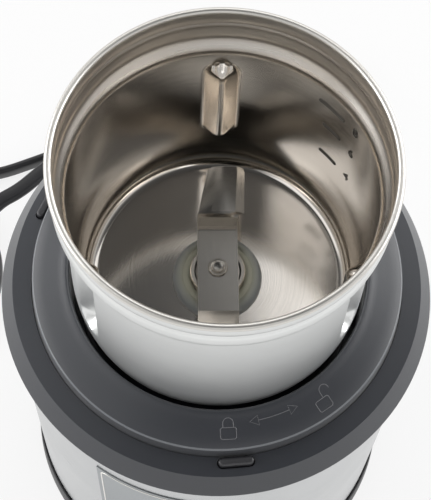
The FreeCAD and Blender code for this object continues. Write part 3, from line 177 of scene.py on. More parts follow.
class Shader(Nodes):
    """A node material being put together round one Principled shader."""

    def __init__(self, name: str) -> None:
        """Makes the material and its output.

        Args:
            name: the material's name.
        """
        self.material = bpy.data.materials.new(name)
        super().__init__(self.material)
        self.surface = self.node("ShaderNodeBsdfPrincipled", {}, {})
        self.output = self.node("ShaderNodeOutputMaterial", {}, {"Surface": self.surface.outputs[0]})

    def set(self, **values: object) -> None:
        """Sets or links inputs of the Principled shader, with underscores for spaces.

        Args:
            values: the inputs' values or links.
        """
        for key, value in values.items():
            self.feed(self.surface.inputs[key.replace("_", " ")], value)

    def place(self, stretch: Triple = (1, 1, 1)) -> bpy.types.NodeSocket:
        """Adds object coordinates, stretched along each axis.

        Args:
            stretch: the factor for each axis.

        Returns:
            The coordinates' output.
        """
        coords = self.node("ShaderNodeTexCoord", {}, {})
        mapped = self.node("ShaderNodeMapping", {}, {"Vector": coords.outputs["Object"], "Scale": stretch})
        return mapped.outputs[0]

    def noise(self, scale: float, detail: float = 2.0, rough: float = 0.5,
              stretch: Triple = (1, 1, 1)) -> Value:
        """Adds noise in object coordinates.

        Args:
            scale: bumps in each metre, about.
            detail: how many finer layers it has.
            rough: how strong the finer layers are.
            stretch: the factor for each axis.

        Returns:
            The noise, from nought to one.
        """
        made = self.node("ShaderNodeTexNoise", {}, {
            "Vector": self.place(stretch), "Scale": scale, "Detail": detail, "Roughness": rough})
        return Value(self, made.outputs[0])

    def rings(self, scale: float, rough: float) -> Value:
        """Adds turned rings round the upright axis.

        Args:
            scale: rings in each metre, about.
            rough: how strong the finer rings are.

        Returns:
            The rings, from nought to one.
        """
        made = self.node("ShaderNodeTexNoise", {"noise_dimensions": "1D"}, {
            "W": self.radius(), "Scale": scale, "Detail": 3.0, "Roughness": rough})
        return Value(self, made.outputs[0])

    def split(self) -> tuple[Value, Value, Value]:
        """Adds the three object coordinates as values.

        Returns:
            The place along x, y and z.
        """
        coords = self.node("ShaderNodeTexCoord", {}, {})
        made = self.node("ShaderNodeSeparateXYZ", {}, {0: coords.outputs["Object"]})
        return tuple(Value(self, socket) for socket in made.outputs)

    def radius(self) -> Value:
        """Returns the distance from the upright axis."""
        across, along, _ = self.split()
        return (across * across + along * along) ** 0.5

    def blend(self, factor: Value, first: tuple[float, ...], second: tuple[float, ...]) -> bpy.types.NodeSocket:
        """Mixes two colours.

        Args:
            factor: how much of the second colour shows.
            first: the first colour.
            second: the second colour.

        Returns:
            The mixed colour's socket.
        """
        made = self.node("ShaderNodeMix", {"data_type": "RGBA"}, {
            0: factor.clamped(), 6: (*first, 1.0), 7: (*second, 1.0)})
        return made.outputs[2]

    def bump(self, height: Value, depth: float) -> None:
        """Feeds the normal from a height of nought to one and its real depth in metres."""
        made = self.node("ShaderNodeBump", {}, {"Height": height, "Distance": depth})
        self.set(Normal=made.outputs[0])


# Finishes


class Brushing(Enum):
    """Which way the fine lines of a brushed metal run."""

    ROUND = (0.02, 0.02, 1.0)
    RINGS = None
    ALONG_Y = (1.0, 0.02, 1.0)
    EVEN = (1.0, 1.0, 1.0)


@dataclass(frozen=True)
class Metal:
    """A bare metal with fine lines and soft stains."""

    name: str
    colour: Triple
    stain: Triple
    roughness: float
    brushing: Brushing = Brushing.ROUND
    line_scale: float = 2600.0
    line_depth: float = 0.000004
    spread: float = 0.08

    def material(self) -> bpy.types.Material:
        """Makes the metal's nodes.

        Returns:
            The node material.
        """
        shader = Shader(self.name)
        if self.brushing is Brushing.RINGS:
            lines = shader.rings(self.line_scale, 0.6)
        else:
            lines = shader.noise(self.line_scale, 3.0, 0.6, self.brushing.value)
        cloud = shader.noise(38.0, 3.0, 0.55)
        shader.set(
            Metallic=1.0,
            Base_Color=shader.blend((cloud - 0.35) * 1.8, self.colour, self.stain),
            Roughness=(lines - 0.5) * self.spread + (cloud - 0.5) * self.spread + self.roughness,
        )
        shader.bump(lines, self.line_depth)
        return shader.material


@dataclass(frozen=True)
class CupMetal:
    """The cup's polished inside: soft stains, faint upright streaks on the wall and turned rings on the floor."""

    name: str = "cup_inside_polished"
    colour: Triple = (0.77, 0.735, 0.69)
    stain: Triple = (0.68, 0.635, 0.58)
    roughness: float = 0.11
    wall_foot: float = 0.1155
    mouth_foot: float = 0.164

    def material(self) -> bpy.types.Material:
        """Makes the polished steel's nodes.

        Returns:
            The node material.
        """
        shader = Shader(self.name)
        rings = shader.rings(3200.0, 0.65)
        wall = shader.noise(900.0, 2.0, 0.5, (0.03, 0.03, 1.0))
        _, _, height = shader.split()
        on_wall = ((height - self.wall_foot) * 900.0).clamped()
        on_mouth = ((height - self.mouth_foot) * 250.0).clamped()
        lines = rings * (1.0 - on_wall) + wall * on_wall
        cloud = shader.noise(30.0, 3.0, 0.5, (1.0, 1.0, 0.7))
        shader.set(
            Metallic=1.0,
            Base_Color=shader.blend((cloud - 0.38) * 2.2, self.colour, self.stain),
            Roughness=((lines - 0.5) * 0.10 + (cloud - 0.5) * 0.12 + on_wall * 0.05 + on_mouth * 0.14
                       + self.roughness),
        )
        shader.bump(lines, 0.000004)
        return shader.material


@dataclass(frozen=True)
class Moulded:
    """A moulded plastic or rubber with a fine spark grain."""

    name: str
    colour: Triple
    worn: Triple
    roughness: float
    grain: float = 2600.0
    grain_depth: float = 0.000012
    coat: float = 0.0
    specular: float = 0.5
    sheen: float = 0.0

    def material(self) -> bpy.types.Material:
        """Makes the moulding's nodes.

        Returns:
            The node material.
        """
        shader = Shader(self.name)
        grain = shader.noise(self.grain, 2.0, 0.6)
        cloud = shader.noise(24.0, 3.0, 0.5)
        shader.set(
            Base_Color=shader.blend(grain * 0.5 + cloud * 0.5 - 0.15, self.colour, self.worn),
            Roughness=(grain - 0.5) * 0.16 + (cloud - 0.5) * 0.08 + self.roughness,
            Coat_Weight=self.coat,
            Specular_IOR_Level=self.specular,
            Sheen_Weight=self.sheen,
            Sheen_Roughness=0.35,
        )
        shader.bump(grain, self.grain_depth)
        return shader.material


@dataclass(frozen=True)
class Wound:
    """Enamelled copper wire laid side by side."""

    name: str
    colour: Triple
    shade: Triple
    pitch: float = 1900.0

    def material(self) -> bpy.types.Material:
        """Makes the winding's nodes.

        Returns:
            The node material.
        """
        shader = Shader(self.name)
        wave = shader.node("ShaderNodeTexWave", {"bands_direction": "Z"}, {
            "Vector": shader.place(), "Scale": self.pitch / 6.0, "Distortion": 1.5, "Detail": 1.0})
        wires = Value(shader, wave.outputs["Fac"])
        shader.set(
            Metallic=0.85,
            Base_Color=shader.blend(wires, self.shade, self.colour),
            Roughness=wires * 0.15 + 0.3,
        )
        shader.bump(wires, 0.0001)
        return shader.material


@dataclass(frozen=True)
class Stacked:
    """Thin steel sheets stacked and pressed."""

    name: str
    colour: Triple
    shade: Triple

    def material(self) -> bpy.types.Material:
        """Makes the stack's nodes.

        Returns:
            The node material.
        """
        shader = Shader(self.name)
        sheets = shader.noise(1500.0, 1.0, 0.5, (0.01, 0.01, 1.0))
        rust = shader.noise(60.0, 3.0, 0.6)
        shader.set(
            Metallic=0.8,
            Base_Color=shader.blend(rust, self.colour, self.shade),
            Roughness=sheets * 0.2 + 0.35,
        )
        shader.bump(sheets, 0.00004)
        return shader.material


@dataclass(frozen=True)
class Seal:
    """The floor seal: a greyish rubber that is bluer towards its rim."""

    name: str = "floor_seal"
    colour: Triple = (0.66, 0.68, 0.56)
    rim: Triple = (0.40, 0.45, 0.49)
    rim_start: float = 0.0088

    def material(self) -> bpy.types.Material:
        """Makes the seal's nodes.

        Returns:
            The node material.
        """
        shader = Shader(self.name)
        outward = (shader.radius() - self.rim_start) * 420.0
        grain = shader.noise(1400.0, 2.0, 0.5)
        shader.set(
            Base_Color=shader.blend(outward, self.colour, self.rim),
            Roughness=grain * 0.12 + 0.3,
            Coat_Weight=0.3,
        )
        shader.bump(grain, 0.000008)
        return shader.material


CUP_OUTSIDE = Metal("cup_outside_brushed", (0.86, 0.87, 0.86), (0.80, 0.81, 0.80), 0.40, spread=0.10)
CUP_RIM = Metal("cup_rim_satin", (0.78, 0.76, 0.72), (0.73, 0.71, 0.665), 0.36, line_depth=0.000001)
SHELL_STEEL = Metal("shell_brushed", (0.50, 0.51, 0.515), (0.46, 0.47, 0.475), 0.25, line_depth=0.000002)
BLADE_STEEL = Metal("blade_ground", (0.40, 0.385, 0.36), (0.33, 0.315, 0.29), 0.22, Brushing.ALONG_Y, 1500.0)
# Painted highlight: a pale steel for rounded edges, standing in for the light that they catch.
HIGHLIGHT_STEEL = Metal("edge_painted_highlight", (0.92, 0.90, 0.86), (0.86, 0.84, 0.80), 0.42, Brushing.EVEN, 1500.0)
BUSH_STEEL = Metal("bush_turned", (0.60, 0.57, 0.52), (0.50, 0.47, 0.43), 0.3, Brushing.RINGS)
RIVET_STEEL = Metal("rivet_formed", (0.40, 0.39, 0.37), (0.33, 0.32, 0.30), 0.26, Brushing.RINGS)
SHAFT_STEEL = Metal("shaft_ground", (0.55, 0.55, 0.55), (0.45, 0.45, 0.45), 0.25)
CAST = Metal("bracket_cast", (0.60, 0.60, 0.60), (0.50, 0.50, 0.50), 0.5, Brushing.EVEN, 900.0, 0.00004)
# Painted shade: the dark colour of the pressed fill bars and numbers stands in for the shade in their pressing.
FILL_MARK_SHADE = Metal("fill_mark_painted_shade", (0.13, 0.125, 0.115), (0.08, 0.076, 0.07), 0.4, Brushing.EVEN, 1500.0)
LABEL_FOIL = Metal("label_satin", (0.38, 0.40, 0.41), (0.34, 0.36, 0.37), 0.42, Brushing.EVEN, 1200.0)
CONTACT_BRASS = Metal("contact_brass", (0.72, 0.56, 0.26), (0.60, 0.46, 0.22), 0.25, Brushing.EVEN, 1500.0)
PIN_METAL = Metal("pin_nickel", (0.75, 0.73, 0.68), (0.66, 0.64, 0.60), 0.2, Brushing.EVEN, 1500.0)
SPRING_WIRE = Metal("spring_wire", (0.62, 0.62, 0.62), (0.54, 0.54, 0.54), 0.22, Brushing.EVEN, 1500.0)
DECK = Moulded("deck_charcoal", (0.025, 0.0278, 0.0355), (0.0325, 0.0362, 0.0458), 0.38,
              specular=0.85, sheen=0.45)
# Painted highlight: a lighter charcoal for the raised ring's rounded lip, standing in for the thin highlight along
# it.
DECK_LIP_HIGHLIGHT = Moulded("deck_lip_painted_highlight", (0.15, 0.16, 0.175), (0.20, 0.21, 0.225), 0.34, specular=0.9)
PAD = Moulded("pad_charcoal", (0.024, 0.024, 0.028), (0.031, 0.031, 0.036), 0.40, specular=0.9)
# Painted highlight: the marks are the deck's own plastic, lighter here to stand in for the highlights on their
# raised edges.
MARK = Moulded("mark_painted_highlight", (0.15, 0.15, 0.16), (0.17, 0.17, 0.18), 0.3)
BASE_BLACK = Moulded("base_black", (0.008, 0.008, 0.010), (0.012, 0.012, 0.014), 0.45)
RUBBER = Moulded("rubber_black", (0.018, 0.018, 0.019), (0.026, 0.026, 0.027), 0.62)
LEAD_VINYL = Moulded("lead_vinyl", (0.012, 0.012, 0.014), (0.02, 0.02, 0.022), 0.36, 1600.0, 0.000006, 0.15)
PALE_NYLON = Moulded("pale_nylon", (0.58, 0.56, 0.50), (0.50, 0.48, 0.43), 0.5)
DARK_NYLON = Moulded("dark_nylon", (0.045, 0.045, 0.05), (0.06, 0.06, 0.065), 0.45)
CARBON = Moulded("carbon_block", (0.02, 0.02, 0.02), (0.035, 0.035, 0.035), 0.7, 900.0, 0.00003)
YELLOW_CASE = Moulded("capacitor_yellow", (0.66, 0.42, 0.03), (0.58, 0.36, 0.03), 0.35, 1200.0, 0.000005)
COPPER = Wound("winding_copper", (0.62, 0.24, 0.09), (0.25, 0.08, 0.03))
LAMINATIONS = Stacked("laminations", (0.20, 0.20, 0.21), (0.13, 0.12, 0.11))
SEAL = Seal()
CUP_INSIDE = CupMetal()

_made: dict[str, bpy.types.Material] = {}


def dressed(finish: object) -> bpy.types.Material:
    """Finds a finish's material, which is made once.

    Args:
        finish: any of the finishes above.

    Returns:
        The material.
    """
    if finish.name not in _made:
        _made[finish.name] = finish.material()
    return _made[finish.name]


# Shaping tools


class Form:
    """A mesh being shaped with bmesh operators, in millimetres until it becomes a piece."""

    def __init__(self) -> None:
        """Starts an empty mesh."""
        self.mesh = bmesh.new()

    def spin(self, outline: Outline, steps: int = 128, start: float = 0.0) -> "Form":
        """Turns a closed outline of radius and height pairs about the upright axis.

        Args:
            outline: the pairs, in order.
            steps: how many facets the turn has.
            start: the angle of the first facet's edge, in degrees.

        Returns:
            This form.
        """
        turn = Matrix.Rotation(math.radians(start), 3, "Z")
        points = [self.mesh.verts.new(turn @ Vector((r, 0, z))) for r, z in outline]
        edges = [self.mesh.edges.new(pair) for pair in zip(points, points[1:] + points[:1])]
        bmesh.ops.spin(self.mesh, geom=points + edges, cent=(0, 0, 0), axis=(0, 0, 1), angle=FULL,
                       steps=steps, use_merge=True)
        return self.tidied()

    def sweep(self, outline: Outline, angle: float, steps: int) -> "Form":
        """Turns a filled outline part of the way about the upright axis.

        Args:
            outline: the radius and height pairs, in order.
            angle: how far it turns, in degrees.
            steps: how many facets the turn has.

        Returns:
            This form.
        """
        self.mesh.faces.new([self.mesh.verts.new((r, 0, z)) for r, z in outline])
        bmesh.ops.spin(self.mesh, geom=[*self.mesh.verts, *self.mesh.edges, *self.mesh.faces], cent=(0, 0, 0),
                       axis=(0, 0, 1), angle=math.radians(angle), steps=steps)
        return self.tidied()

    def tidied(self) -> "Form":
        """Merges doubles and points the faces outwards.

        Returns:
            This form.
        """
        bmesh.ops.remove_doubles(self.mesh, verts=self.mesh.verts, dist=1e-5)
        bmesh.ops.recalc_face_normals(self.mesh, faces=self.mesh.faces)
        return self

    def block(self, size: Triple, centre: Triple) -> "Form":
        """Adds a box.

        Args:
            size: its three sides.
            centre: its middle.

        Returns:
            This form.
        """
        place = Matrix.Translation(centre) @ Matrix.Diagonal((*size, 1.0))
        bmesh.ops.create_cube(self.mesh, size=1.0, matrix=place)
        return self

    def disc(self, radius: float, height: float, centre: Triple, sides: int = 48) -> "Form":
        """Adds an upright cylinder.

        Args:
            radius: its radius.
            height: its height.
            centre: the middle of its underside.
            sides: how many facets it has.

        Returns:
            This form.
        """
        middle = Vector(centre) + Vector((0, 0, height / 2))
        bmesh.ops.create_cone(self.mesh, cap_ends=True, segments=sides, radius1=radius, radius2=radius,
                              depth=height, matrix=Matrix.Translation(middle))
        return self

    def stadium(self, width: float, length: float, height: float, sides: int = 32) -> "Form":
        """Adds a bar with round ends, long in Y, standing on z = 0.

        Args:
            width: its width.
            length: its length.
            height: its height.
            sides: how many facets both ends have together.

        Returns:
            This form.
        """
        made = bmesh.ops.create_circle(self.mesh, cap_ends=True, segments=sides, radius=width / 2,
                                       matrix=Matrix.Rotation(math.pi / sides, 4, "Z"))
        for vert in made["verts"]:
            vert.co.y += math.copysign((length - width) / 2, vert.co.y)
        raised = bmesh.ops.extrude_face_region(self.mesh, geom=list(self.mesh.faces))
        moved = [item for item in raised["geom"] if isinstance(item, bmesh.types.BMVert)]
        bmesh.ops.translate(self.mesh, verts=moved, vec=(0, 0, height))
        return self.tidied()

    def round_edges(self, width: float, angle: float = 30.0, segments: int = 3) -> "Form":
        """Rounds the edges that turn more than an angle.

        Args:
            width: the rounding's width.
            angle: the least turn, in degrees.
            segments: how many facets the rounding has.

        Returns:
            This form.
        """
        limit = math.radians(angle)
        edges = [e for e in self.mesh.edges if e.is_manifold and e.calc_face_angle(0.0) > limit]
        bmesh.ops.bevel(self.mesh, geom=edges, offset=width, offset_type="OFFSET", affect="EDGES",
                        segments=segments, profile=0.5, material=-1, clamp_overlap=True)
        return self

    def moved(self, place: Matrix) -> "Form":
        """Moves the whole mesh by a transform and returns this form."""
        bmesh.ops.transform(self.mesh, matrix=place, verts=self.mesh.verts)
        return self

    def turned(self, angle: float) -> "Form":
        """Turns the whole mesh about the upright axis by some degrees and returns this form."""
        return self.moved(Matrix.Rotation(math.radians(angle), 4, "Z"))

    def data(self, name: str) -> bpy.types.Mesh:
        """Turns the shape into a mesh, which uses up this form.

        Args:
            name: the mesh's name.

        Returns:
            The mesh.
        """
        made = bpy.data.meshes.new(name)
        self.mesh.to_mesh(made)
        self.mesh.free()
        return made

    def join(self, other: "Form") -> "Form":
        """Adds another form's mesh to this one.

        Args:
            other: the form, which is used up.

        Returns:
            This form.
        """
        spare = other.data("joined")
        self.mesh.from_mesh(spare)
        bpy.data.meshes.remove(spare)
        return self

    def piece(self, name: str, finish: object, body: str, slot: str, nodes: tuple[str, ...] = (),
              smooth: float = 40.0) -> bpy.types.Object:
        """Turns the mesh into a piece of the grinder.

        Args:
            name: the piece's name.
            finish: its finish.
            body: the moving body that it rides on.
            slot: not used.
            nodes: the nodes that it stands for.
            smooth: the turn above which an edge stays sharp, in degrees.

        Returns:
            The piece.
        """
        bmesh.ops.scale(self.mesh, vec=(MM, MM, MM), verts=self.mesh.verts)
        limit = math.radians(smooth)
        for face in self.mesh.faces:
            face.smooth = True
        for edge in self.mesh.edges:
            edge.smooth = edge.is_manifold and edge.calc_face_angle(0.0) < limit
        made = linked(name, self.data(name))
        made.data.materials.append(dressed(finish))
        return mounted(made, body, nodes)


def linked(name: str, data: bpy.types.ID) -> bpy.types.Object:
    """Makes an object that holds some data and is part of the scene.

    Args:
        name: the object's name.
        data: its mesh, curve, lamp or camera.

    Returns:
        The object.
    """
    made = bpy.data.objects.new(name, data)
    bpy.context.scene.collection.objects.link(made)
    return made


def mesh_of(made: bpy.types.Object) -> bpy.types.Mesh:
    """Returns the mesh that an object gives with its modifiers.

    Args:
        made: the object.
    """
    bpy.context.view_layer.update()
    return bpy.data.meshes.new_from_object(made.evaluated_get(bpy.context.evaluated_depsgraph_get()))


def line_mesh(line: bpy.types.Curve) -> bpy.types.Mesh:
    """Turns a curve or a text into a mesh without a finish.

    Args:
        line: the curve or the text.

    Returns:
        The mesh.
    """
    holder = linked("line", line)
    data = mesh_of(holder)
    bpy.data.objects.remove(holder)
    data.materials.clear()
    return data


def mounted(made: bpy.types.Object, body: str, nodes: tuple[str, ...] = ()) -> bpy.types.Object:
    """Lets a piece ride on its body.

    Args:
        made: the piece.
        body: the body's name.
        nodes: the nodes that it stands for.

    Returns:
        The piece.
    """
    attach(made, body)
    if nodes:
        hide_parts(*nodes)
    log.info("%s on %s", made.name, body)
    return made


def carve(target: bpy.types.Object, cutter: Form) -> None:
    """Takes a form away from a piece's mesh.

    Args:
        target: the piece.
        cutter: the form, in millimetres, which is used up.
    """
    bmesh.ops.scale(cutter.mesh, vec=(MM, MM, MM), verts=cutter.mesh.verts)
    tool = linked("cutter", cutter.data("cutter"))
    step = target.modifiers.new("cut", "BOOLEAN")
    step.operation = "DIFFERENCE"
    step.solver = "EXACT"
    step.object = tool
    result = mesh_of(target)
    target.modifiers.clear()
    old = target.data
    target.data = result
    bpy.data.meshes.remove(old)
    bpy.data.objects.remove(tool)


def ease_edges(made: bpy.types.Object, width: float, segments: int = 3, angle: float = 32.0,
               finish: int = -1) -> None:
    """Rounds a piece's sharp edges with a Bevel modifier.

    Args:
        made: the piece.
        width: the rounding's width in millimetres.
        segments: how many facets it has.
        angle: the least turn that is rounded, in degrees.
        finish: the number of the finish that the rounding gets, or -1 for that of its faces.
    """
    step = made.modifiers.new("edges", "BEVEL")
    step.material = finish
    step.width = width * MM
    step.segments = segments
    step.limit_method = "ANGLE"
    step.angle_limit = math.radians(angle)
    step.harden_normals = True


def polar(radius: float, angle: float, height: float) -> Vector:
    """Returns a point from its radius, its angle in degrees and its height."""
    turn = math.radians(angle)
    return Vector((radius * math.cos(turn), radius * math.sin(turn), height))


def smoothstep(value: float) -> float:
    """Returns a soft step from nought to one."""
    held = min(max(value, 0.0), 1.0)
    return held * held * (3 - 2 * held)


def arc_points(centre: Pair, radius: float, start: float, end: float, steps: int) -> Outline:
    """Lays points along an arc of an outline.

    Args:
        centre: the arc's centre.
        radius: its radius.
        start: its first angle, in degrees.
        end: its last angle, in degrees.
        steps: how many runs it has.

    Returns:
        The points, from the first angle to the last.
    """
    spots = []
    for i in range(steps + 1):
        turn = math.radians(start + (end - start) * i / steps)
        spots.append((centre[0] + radius * math.cos(turn), centre[1] + radius * math.sin(turn)))
    return spots


def run_points(first: Pair, last: Pair, steps: int) -> Outline:
    """Lays evenly spaced points along a straight run.

    Args:
        first: the run's first point.
        last: the run's last point.
        steps: how many points are given.

    Returns:
        The points, without the run's last one.
    """
    return [
        (first[0] + (last[0] - first[0]) * i / steps, first[1] + (last[1] - first[1]) * i / steps)
        for i in range(steps)
    ]


def lines_piece(name: str, lines: list[list[Vector]], thickness: float, finish: object, body: str,
                closed: tuple[int, ...] = ()) -> bpy.types.Object:
    """Makes thin raised lines as one mesh piece.

    Args:
        name: the piece's name.
        lines: each line's points, in millimetres.
        thickness: the lines' thickness in millimetres.
        finish: the piece's finish.
        body: the body that it rides on.
        closed: which lines are closed.

    Returns:
        The piece.
    """
    curve = bpy.data.curves.new(name, "CURVE")
    curve.dimensions = "3D"
    curve.bevel_depth = thickness * MM / 2
    curve.bevel_resolution = 2
    curve.use_fill_caps = True
    for i, line in enumerate(lines):
        spline = curve.splines.new("POLY")
        spline.points.add(len(line) - 1)
        for point, spot in zip(spline.points, line):
            point.co = (*(spot * MM), 1.0)
        spline.use_cyclic_u = i in closed
    data = line_mesh(curve)
    for face in data.polygons:
        face.use_smooth = True
    data.materials.append(dressed(finish))
    return mounted(linked(name, data), body)


# Sub-assemblies


@dataclass
class Deck:
    """The charcoal top of the body: outer ring, raised ring with its well, lock marks and sprung pads."""

    radius: float = 56.0
    edge: float = 107.5
    chamfer: Pair = (3.25, 5.7)
    top: float = 113.9
    seam: float = 47.9
    groove: Triple = (52.8, 53.6, 110.1)
    skirt: float = 51.4
    underside: float = 111.0
    shelf: float = 112.6
    crown: Pair = (38.1, 120.9)
    lip: Pair = (47.3, 118.0)
    bore: float = 37.8
    floor: float = 96.0
    pad_angles: dict[str, float] = field(default_factory=lambda: {"front": -90.0, "right": 30.0, "left": 150.0})
    pad_centre: float = 49.25
    pad_size: Pair = (2.2, 8.8)
    pad_proud: float = 1.2
    slot_gap: float = 0.35
    pad_travel: float = 2.5
    spring_wire: float = 0.45
    spring_turns: int = 5
    turn_runs: int = 24
    key_foot: float = 110.85
    post_radius: float = 48.48
    hook_sweep: float = 24.0
    closed_lock: Pair = (-92.0, 42.3)
    open_lock: Pair = (-59.0, 43.0)
    arrow: Triple = (-76.0, 5.6, 41.4)

    def build(self) -> None:
        """Builds every piece of the deck."""
        self.outer_ring()
        self.raised_ring()
        self.hooks()
        self.pads()
        self.marks()

    def outer_ring(self) -> None:
        """Builds the outer ring with its chamfer and the three slots."""
        inner, outer, ceiling = self.groove
        outline = [
            (self.seam, self.top), (self.radius - self.chamfer[0], self.edge + self.chamfer[1]),
            (self.radius, self.edge), (outer, self.edge), (outer, ceiling), (inner, ceiling), (inner, self.edge),
            (self.skirt, self.edge), (self.skirt, self.underside), (46.1, self.underside), (46.1, self.shelf),
            (self.seam, self.shelf),
        ]
        ring = Form().spin(outline, 160).piece("deck_outer_ring", DECK, "base", "deck_plastic", ("top_ring",))
        for angle in self.pad_angles.values():
            cutter = Form().stadium(self.pad_size[0] + self.slot_gap * 2, self.pad_size[1] + self.slot_gap * 2, 8)
            cutter.moved(Matrix.Translation((self.pad_centre, 0, 109.0))).turned(angle)
            carve(ring, cutter)
        ease_edges(ring, 0.3, 2)

    def raised_ring(self) -> None:
        """Builds the raised ring, its sloping crown, the bore and the well's floor."""
        outline = [
            (self.bore, self.floor), *run_points((self.bore, self.floor), (self.bore, 120.2), 6)[1:],
            *arc_points((self.bore + 0.75, 120.25), 0.75, 180, 70, 5),
            *run_points((39.6, 120.55), (46.9, 118.18), 5),
            *arc_points((46.85, 117.45), 0.55, 72, 0, 4),
            (47.75, self.shelf), (45.95, self.shelf), (45.95, self.underside), (43.5, self.underside),
            (43.5, 115.5), (40.2, 118.0),
            (40.2, 93.5), (6.0, 93.5), (6.0, 96.8), (9.5, 96.8), (9.5, self.floor),
        ]
        made = Form().spin(outline, 160).piece("deck_raised_ring", DECK, "base", "deck_plastic", ("cup_socket",), 35)
        # The lip's rounded faces take the lighter charcoal, a painted highlight along the lip.
        made.data.materials.append(dressed(DECK_LIP_HIGHLIGHT))
        for face in made.data.polygons:
            centre = face.center / MM
            if centre.xy.length > 46.9 and 117.5 < centre.z:
                face.material_index = 1

    def hooks(self) -> None:
        """Builds the three bayonet hooks in the well."""
        root = self.bore + 0.6
        outline = [(36.0, 104.3), (root, 104.3), (root, 107.5), (36.0, 107.5)]
        for i in range(3):
            form = Form().sweep(outline, self.hook_sweep, 12).round_edges(0.35)
            form.turned(i * 120.0 - self.hook_sweep / 2)
            form.piece(f"bayonet_hook_{i}", DECK, "base", "deck_plastic")

    def pads(self) -> None:
        """Builds the three sprung pads over their slots, each with its flange and post."""
        for side, angle in self.pad_angles.items():
            key = Form().stadium(*self.pad_size, self.top + self.pad_proud - self.key_foot, 40)
            tops = [e for e in key.mesh.edges if all(v.co.z > 1.0 for v in e.verts)]
            bmesh.ops.bevel(key.mesh, geom=tops, offset=0.6, offset_type="OFFSET", affect="EDGES", segments=4,
                            profile=0.5, material=-1, clamp_overlap=True)
            key.moved(Matrix.Translation((self.pad_centre, 0, self.key_foot)))
            flange = Form().block((3.52, 12.0, 1.3), (self.post_radius, 0, 110.2)).round_edges(0.25)
            post = Form().disc(1.4, 10.95, (self.post_radius, 0, 98.6), 24)
            key.join(flange).join(post).turned(angle)
            key.piece(f"sprung_pad_{side}", PAD, f"pad_{side}", "pad_plastic", (f"switch_pad_{side}",))
            self.spring(side)

    def spring(self, side: str) -> None:
        """Winds a pad's return spring, which rides on the pad.

        Args:
            side: the pad's side.
        """
        low, high = (Vector(corner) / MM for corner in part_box(f"pad_spring_{side}"))
        middle, tall, runs = (low + high) / 2, high.z - low.z, self.spring_turns * self.turn_runs
        radius = (high.x - low.x - self.spring_wire) / 2
        line = []
        for i in range(runs + 1):
            rise = self.spring_wire / 2 + (tall - self.spring_wire) * i / runs
            line.append(polar(radius, 360 / self.turn_runs * i, low.z + rise) + Vector((middle.x, middle.y, 0.0)))
        made = lines_piece(f"pad_coil_{side}", [line], self.spring_wire, SPRING_WIRE, f"pad_{side}")
        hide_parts(f"pad_spring_{side}")
        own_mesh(made)

    def on_crown(self, side: float, up: float, angle: float, radius: float) -> Vector:
        """Finds a point on the sloping crown.

        Args:
            side: millimetres to the right, seen from the front.
            up: millimetres towards the cup.
            angle: where the mark's middle is, in degrees.
            radius: the mark's middle radius.

        Returns:
            The point.
        """
        reach = radius - up
        slope = (self.lip[1] - self.crown[1]) / (self.lip[0] - self.crown[0])
        height = self.crown[1] + slope * (reach - self.crown[0]) + 0.03
        return polar(reach, angle + math.degrees(side / reach), height)

    def padlock(self, angle: float, radius: float, opened: bool) -> list[list[Vector]]:
        """Returns a padlock outline on the crown.

        Args:
            angle: where it is, in degrees.
            radius: its middle radius.
            opened: whether the shackle is swung open.

        Returns:
            The body's outline and the shackle's line.
        """
        body = [(-1.95, -2.6), (1.95, -2.6), (1.95, 0.1), (-1.95, 0.1)]
        rounded = []
        for i, (x, y) in enumerate(body):
            inward = (-math.copysign(0.35, x), math.copysign(0.35, -1.25 - y))
            pair = [(x + inward[0], y), (x, y + inward[1])]
            rounded += pair[::-1] if i % 2 == 0 else pair
        centre = (1.9, 1.5) if opened else (0.0, 1.1)
        swing = arc_points(centre, 1.3, 180, -10 if opened else 0, 10)
        shackle = [(centre[0] - 1.3, 0.1), *swing] + ([] if opened else [(1.3, 0.1)])
        return [[self.on_crown(x, y, angle, radius) for x, y in line] for line in (rounded, shackle)]

    def marks(self) -> None:
        """Builds the closed padlock, the arrow with two heads and the open padlock as raised lines, lighter than the
        deck as a painted highlight.
        """
        closed = self.padlock(*self.closed_lock, False)
        opened = self.padlock(*self.open_lock, True)
        middle, spread, radius = self.arrow
        shaft = [self.on_crown(0, 0, middle + spread * (i / 6 - 1), radius) for i in range(13)]
        lines = [*closed, *opened, shaft]
        for sign in (-1, 1):
            tip = middle + sign * (spread + 3.0)
            base = middle + sign * spread
            lines.append([
                self.on_crown(0, 0, tip, radius), self.on_crown(0, 1.15, base, radius),
                self.on_crown(0, -1.15, base, radius),
            ])
        lines_piece("lock_marks", lines, 0.26, MARK, "base", (0, 2, 5, 6))


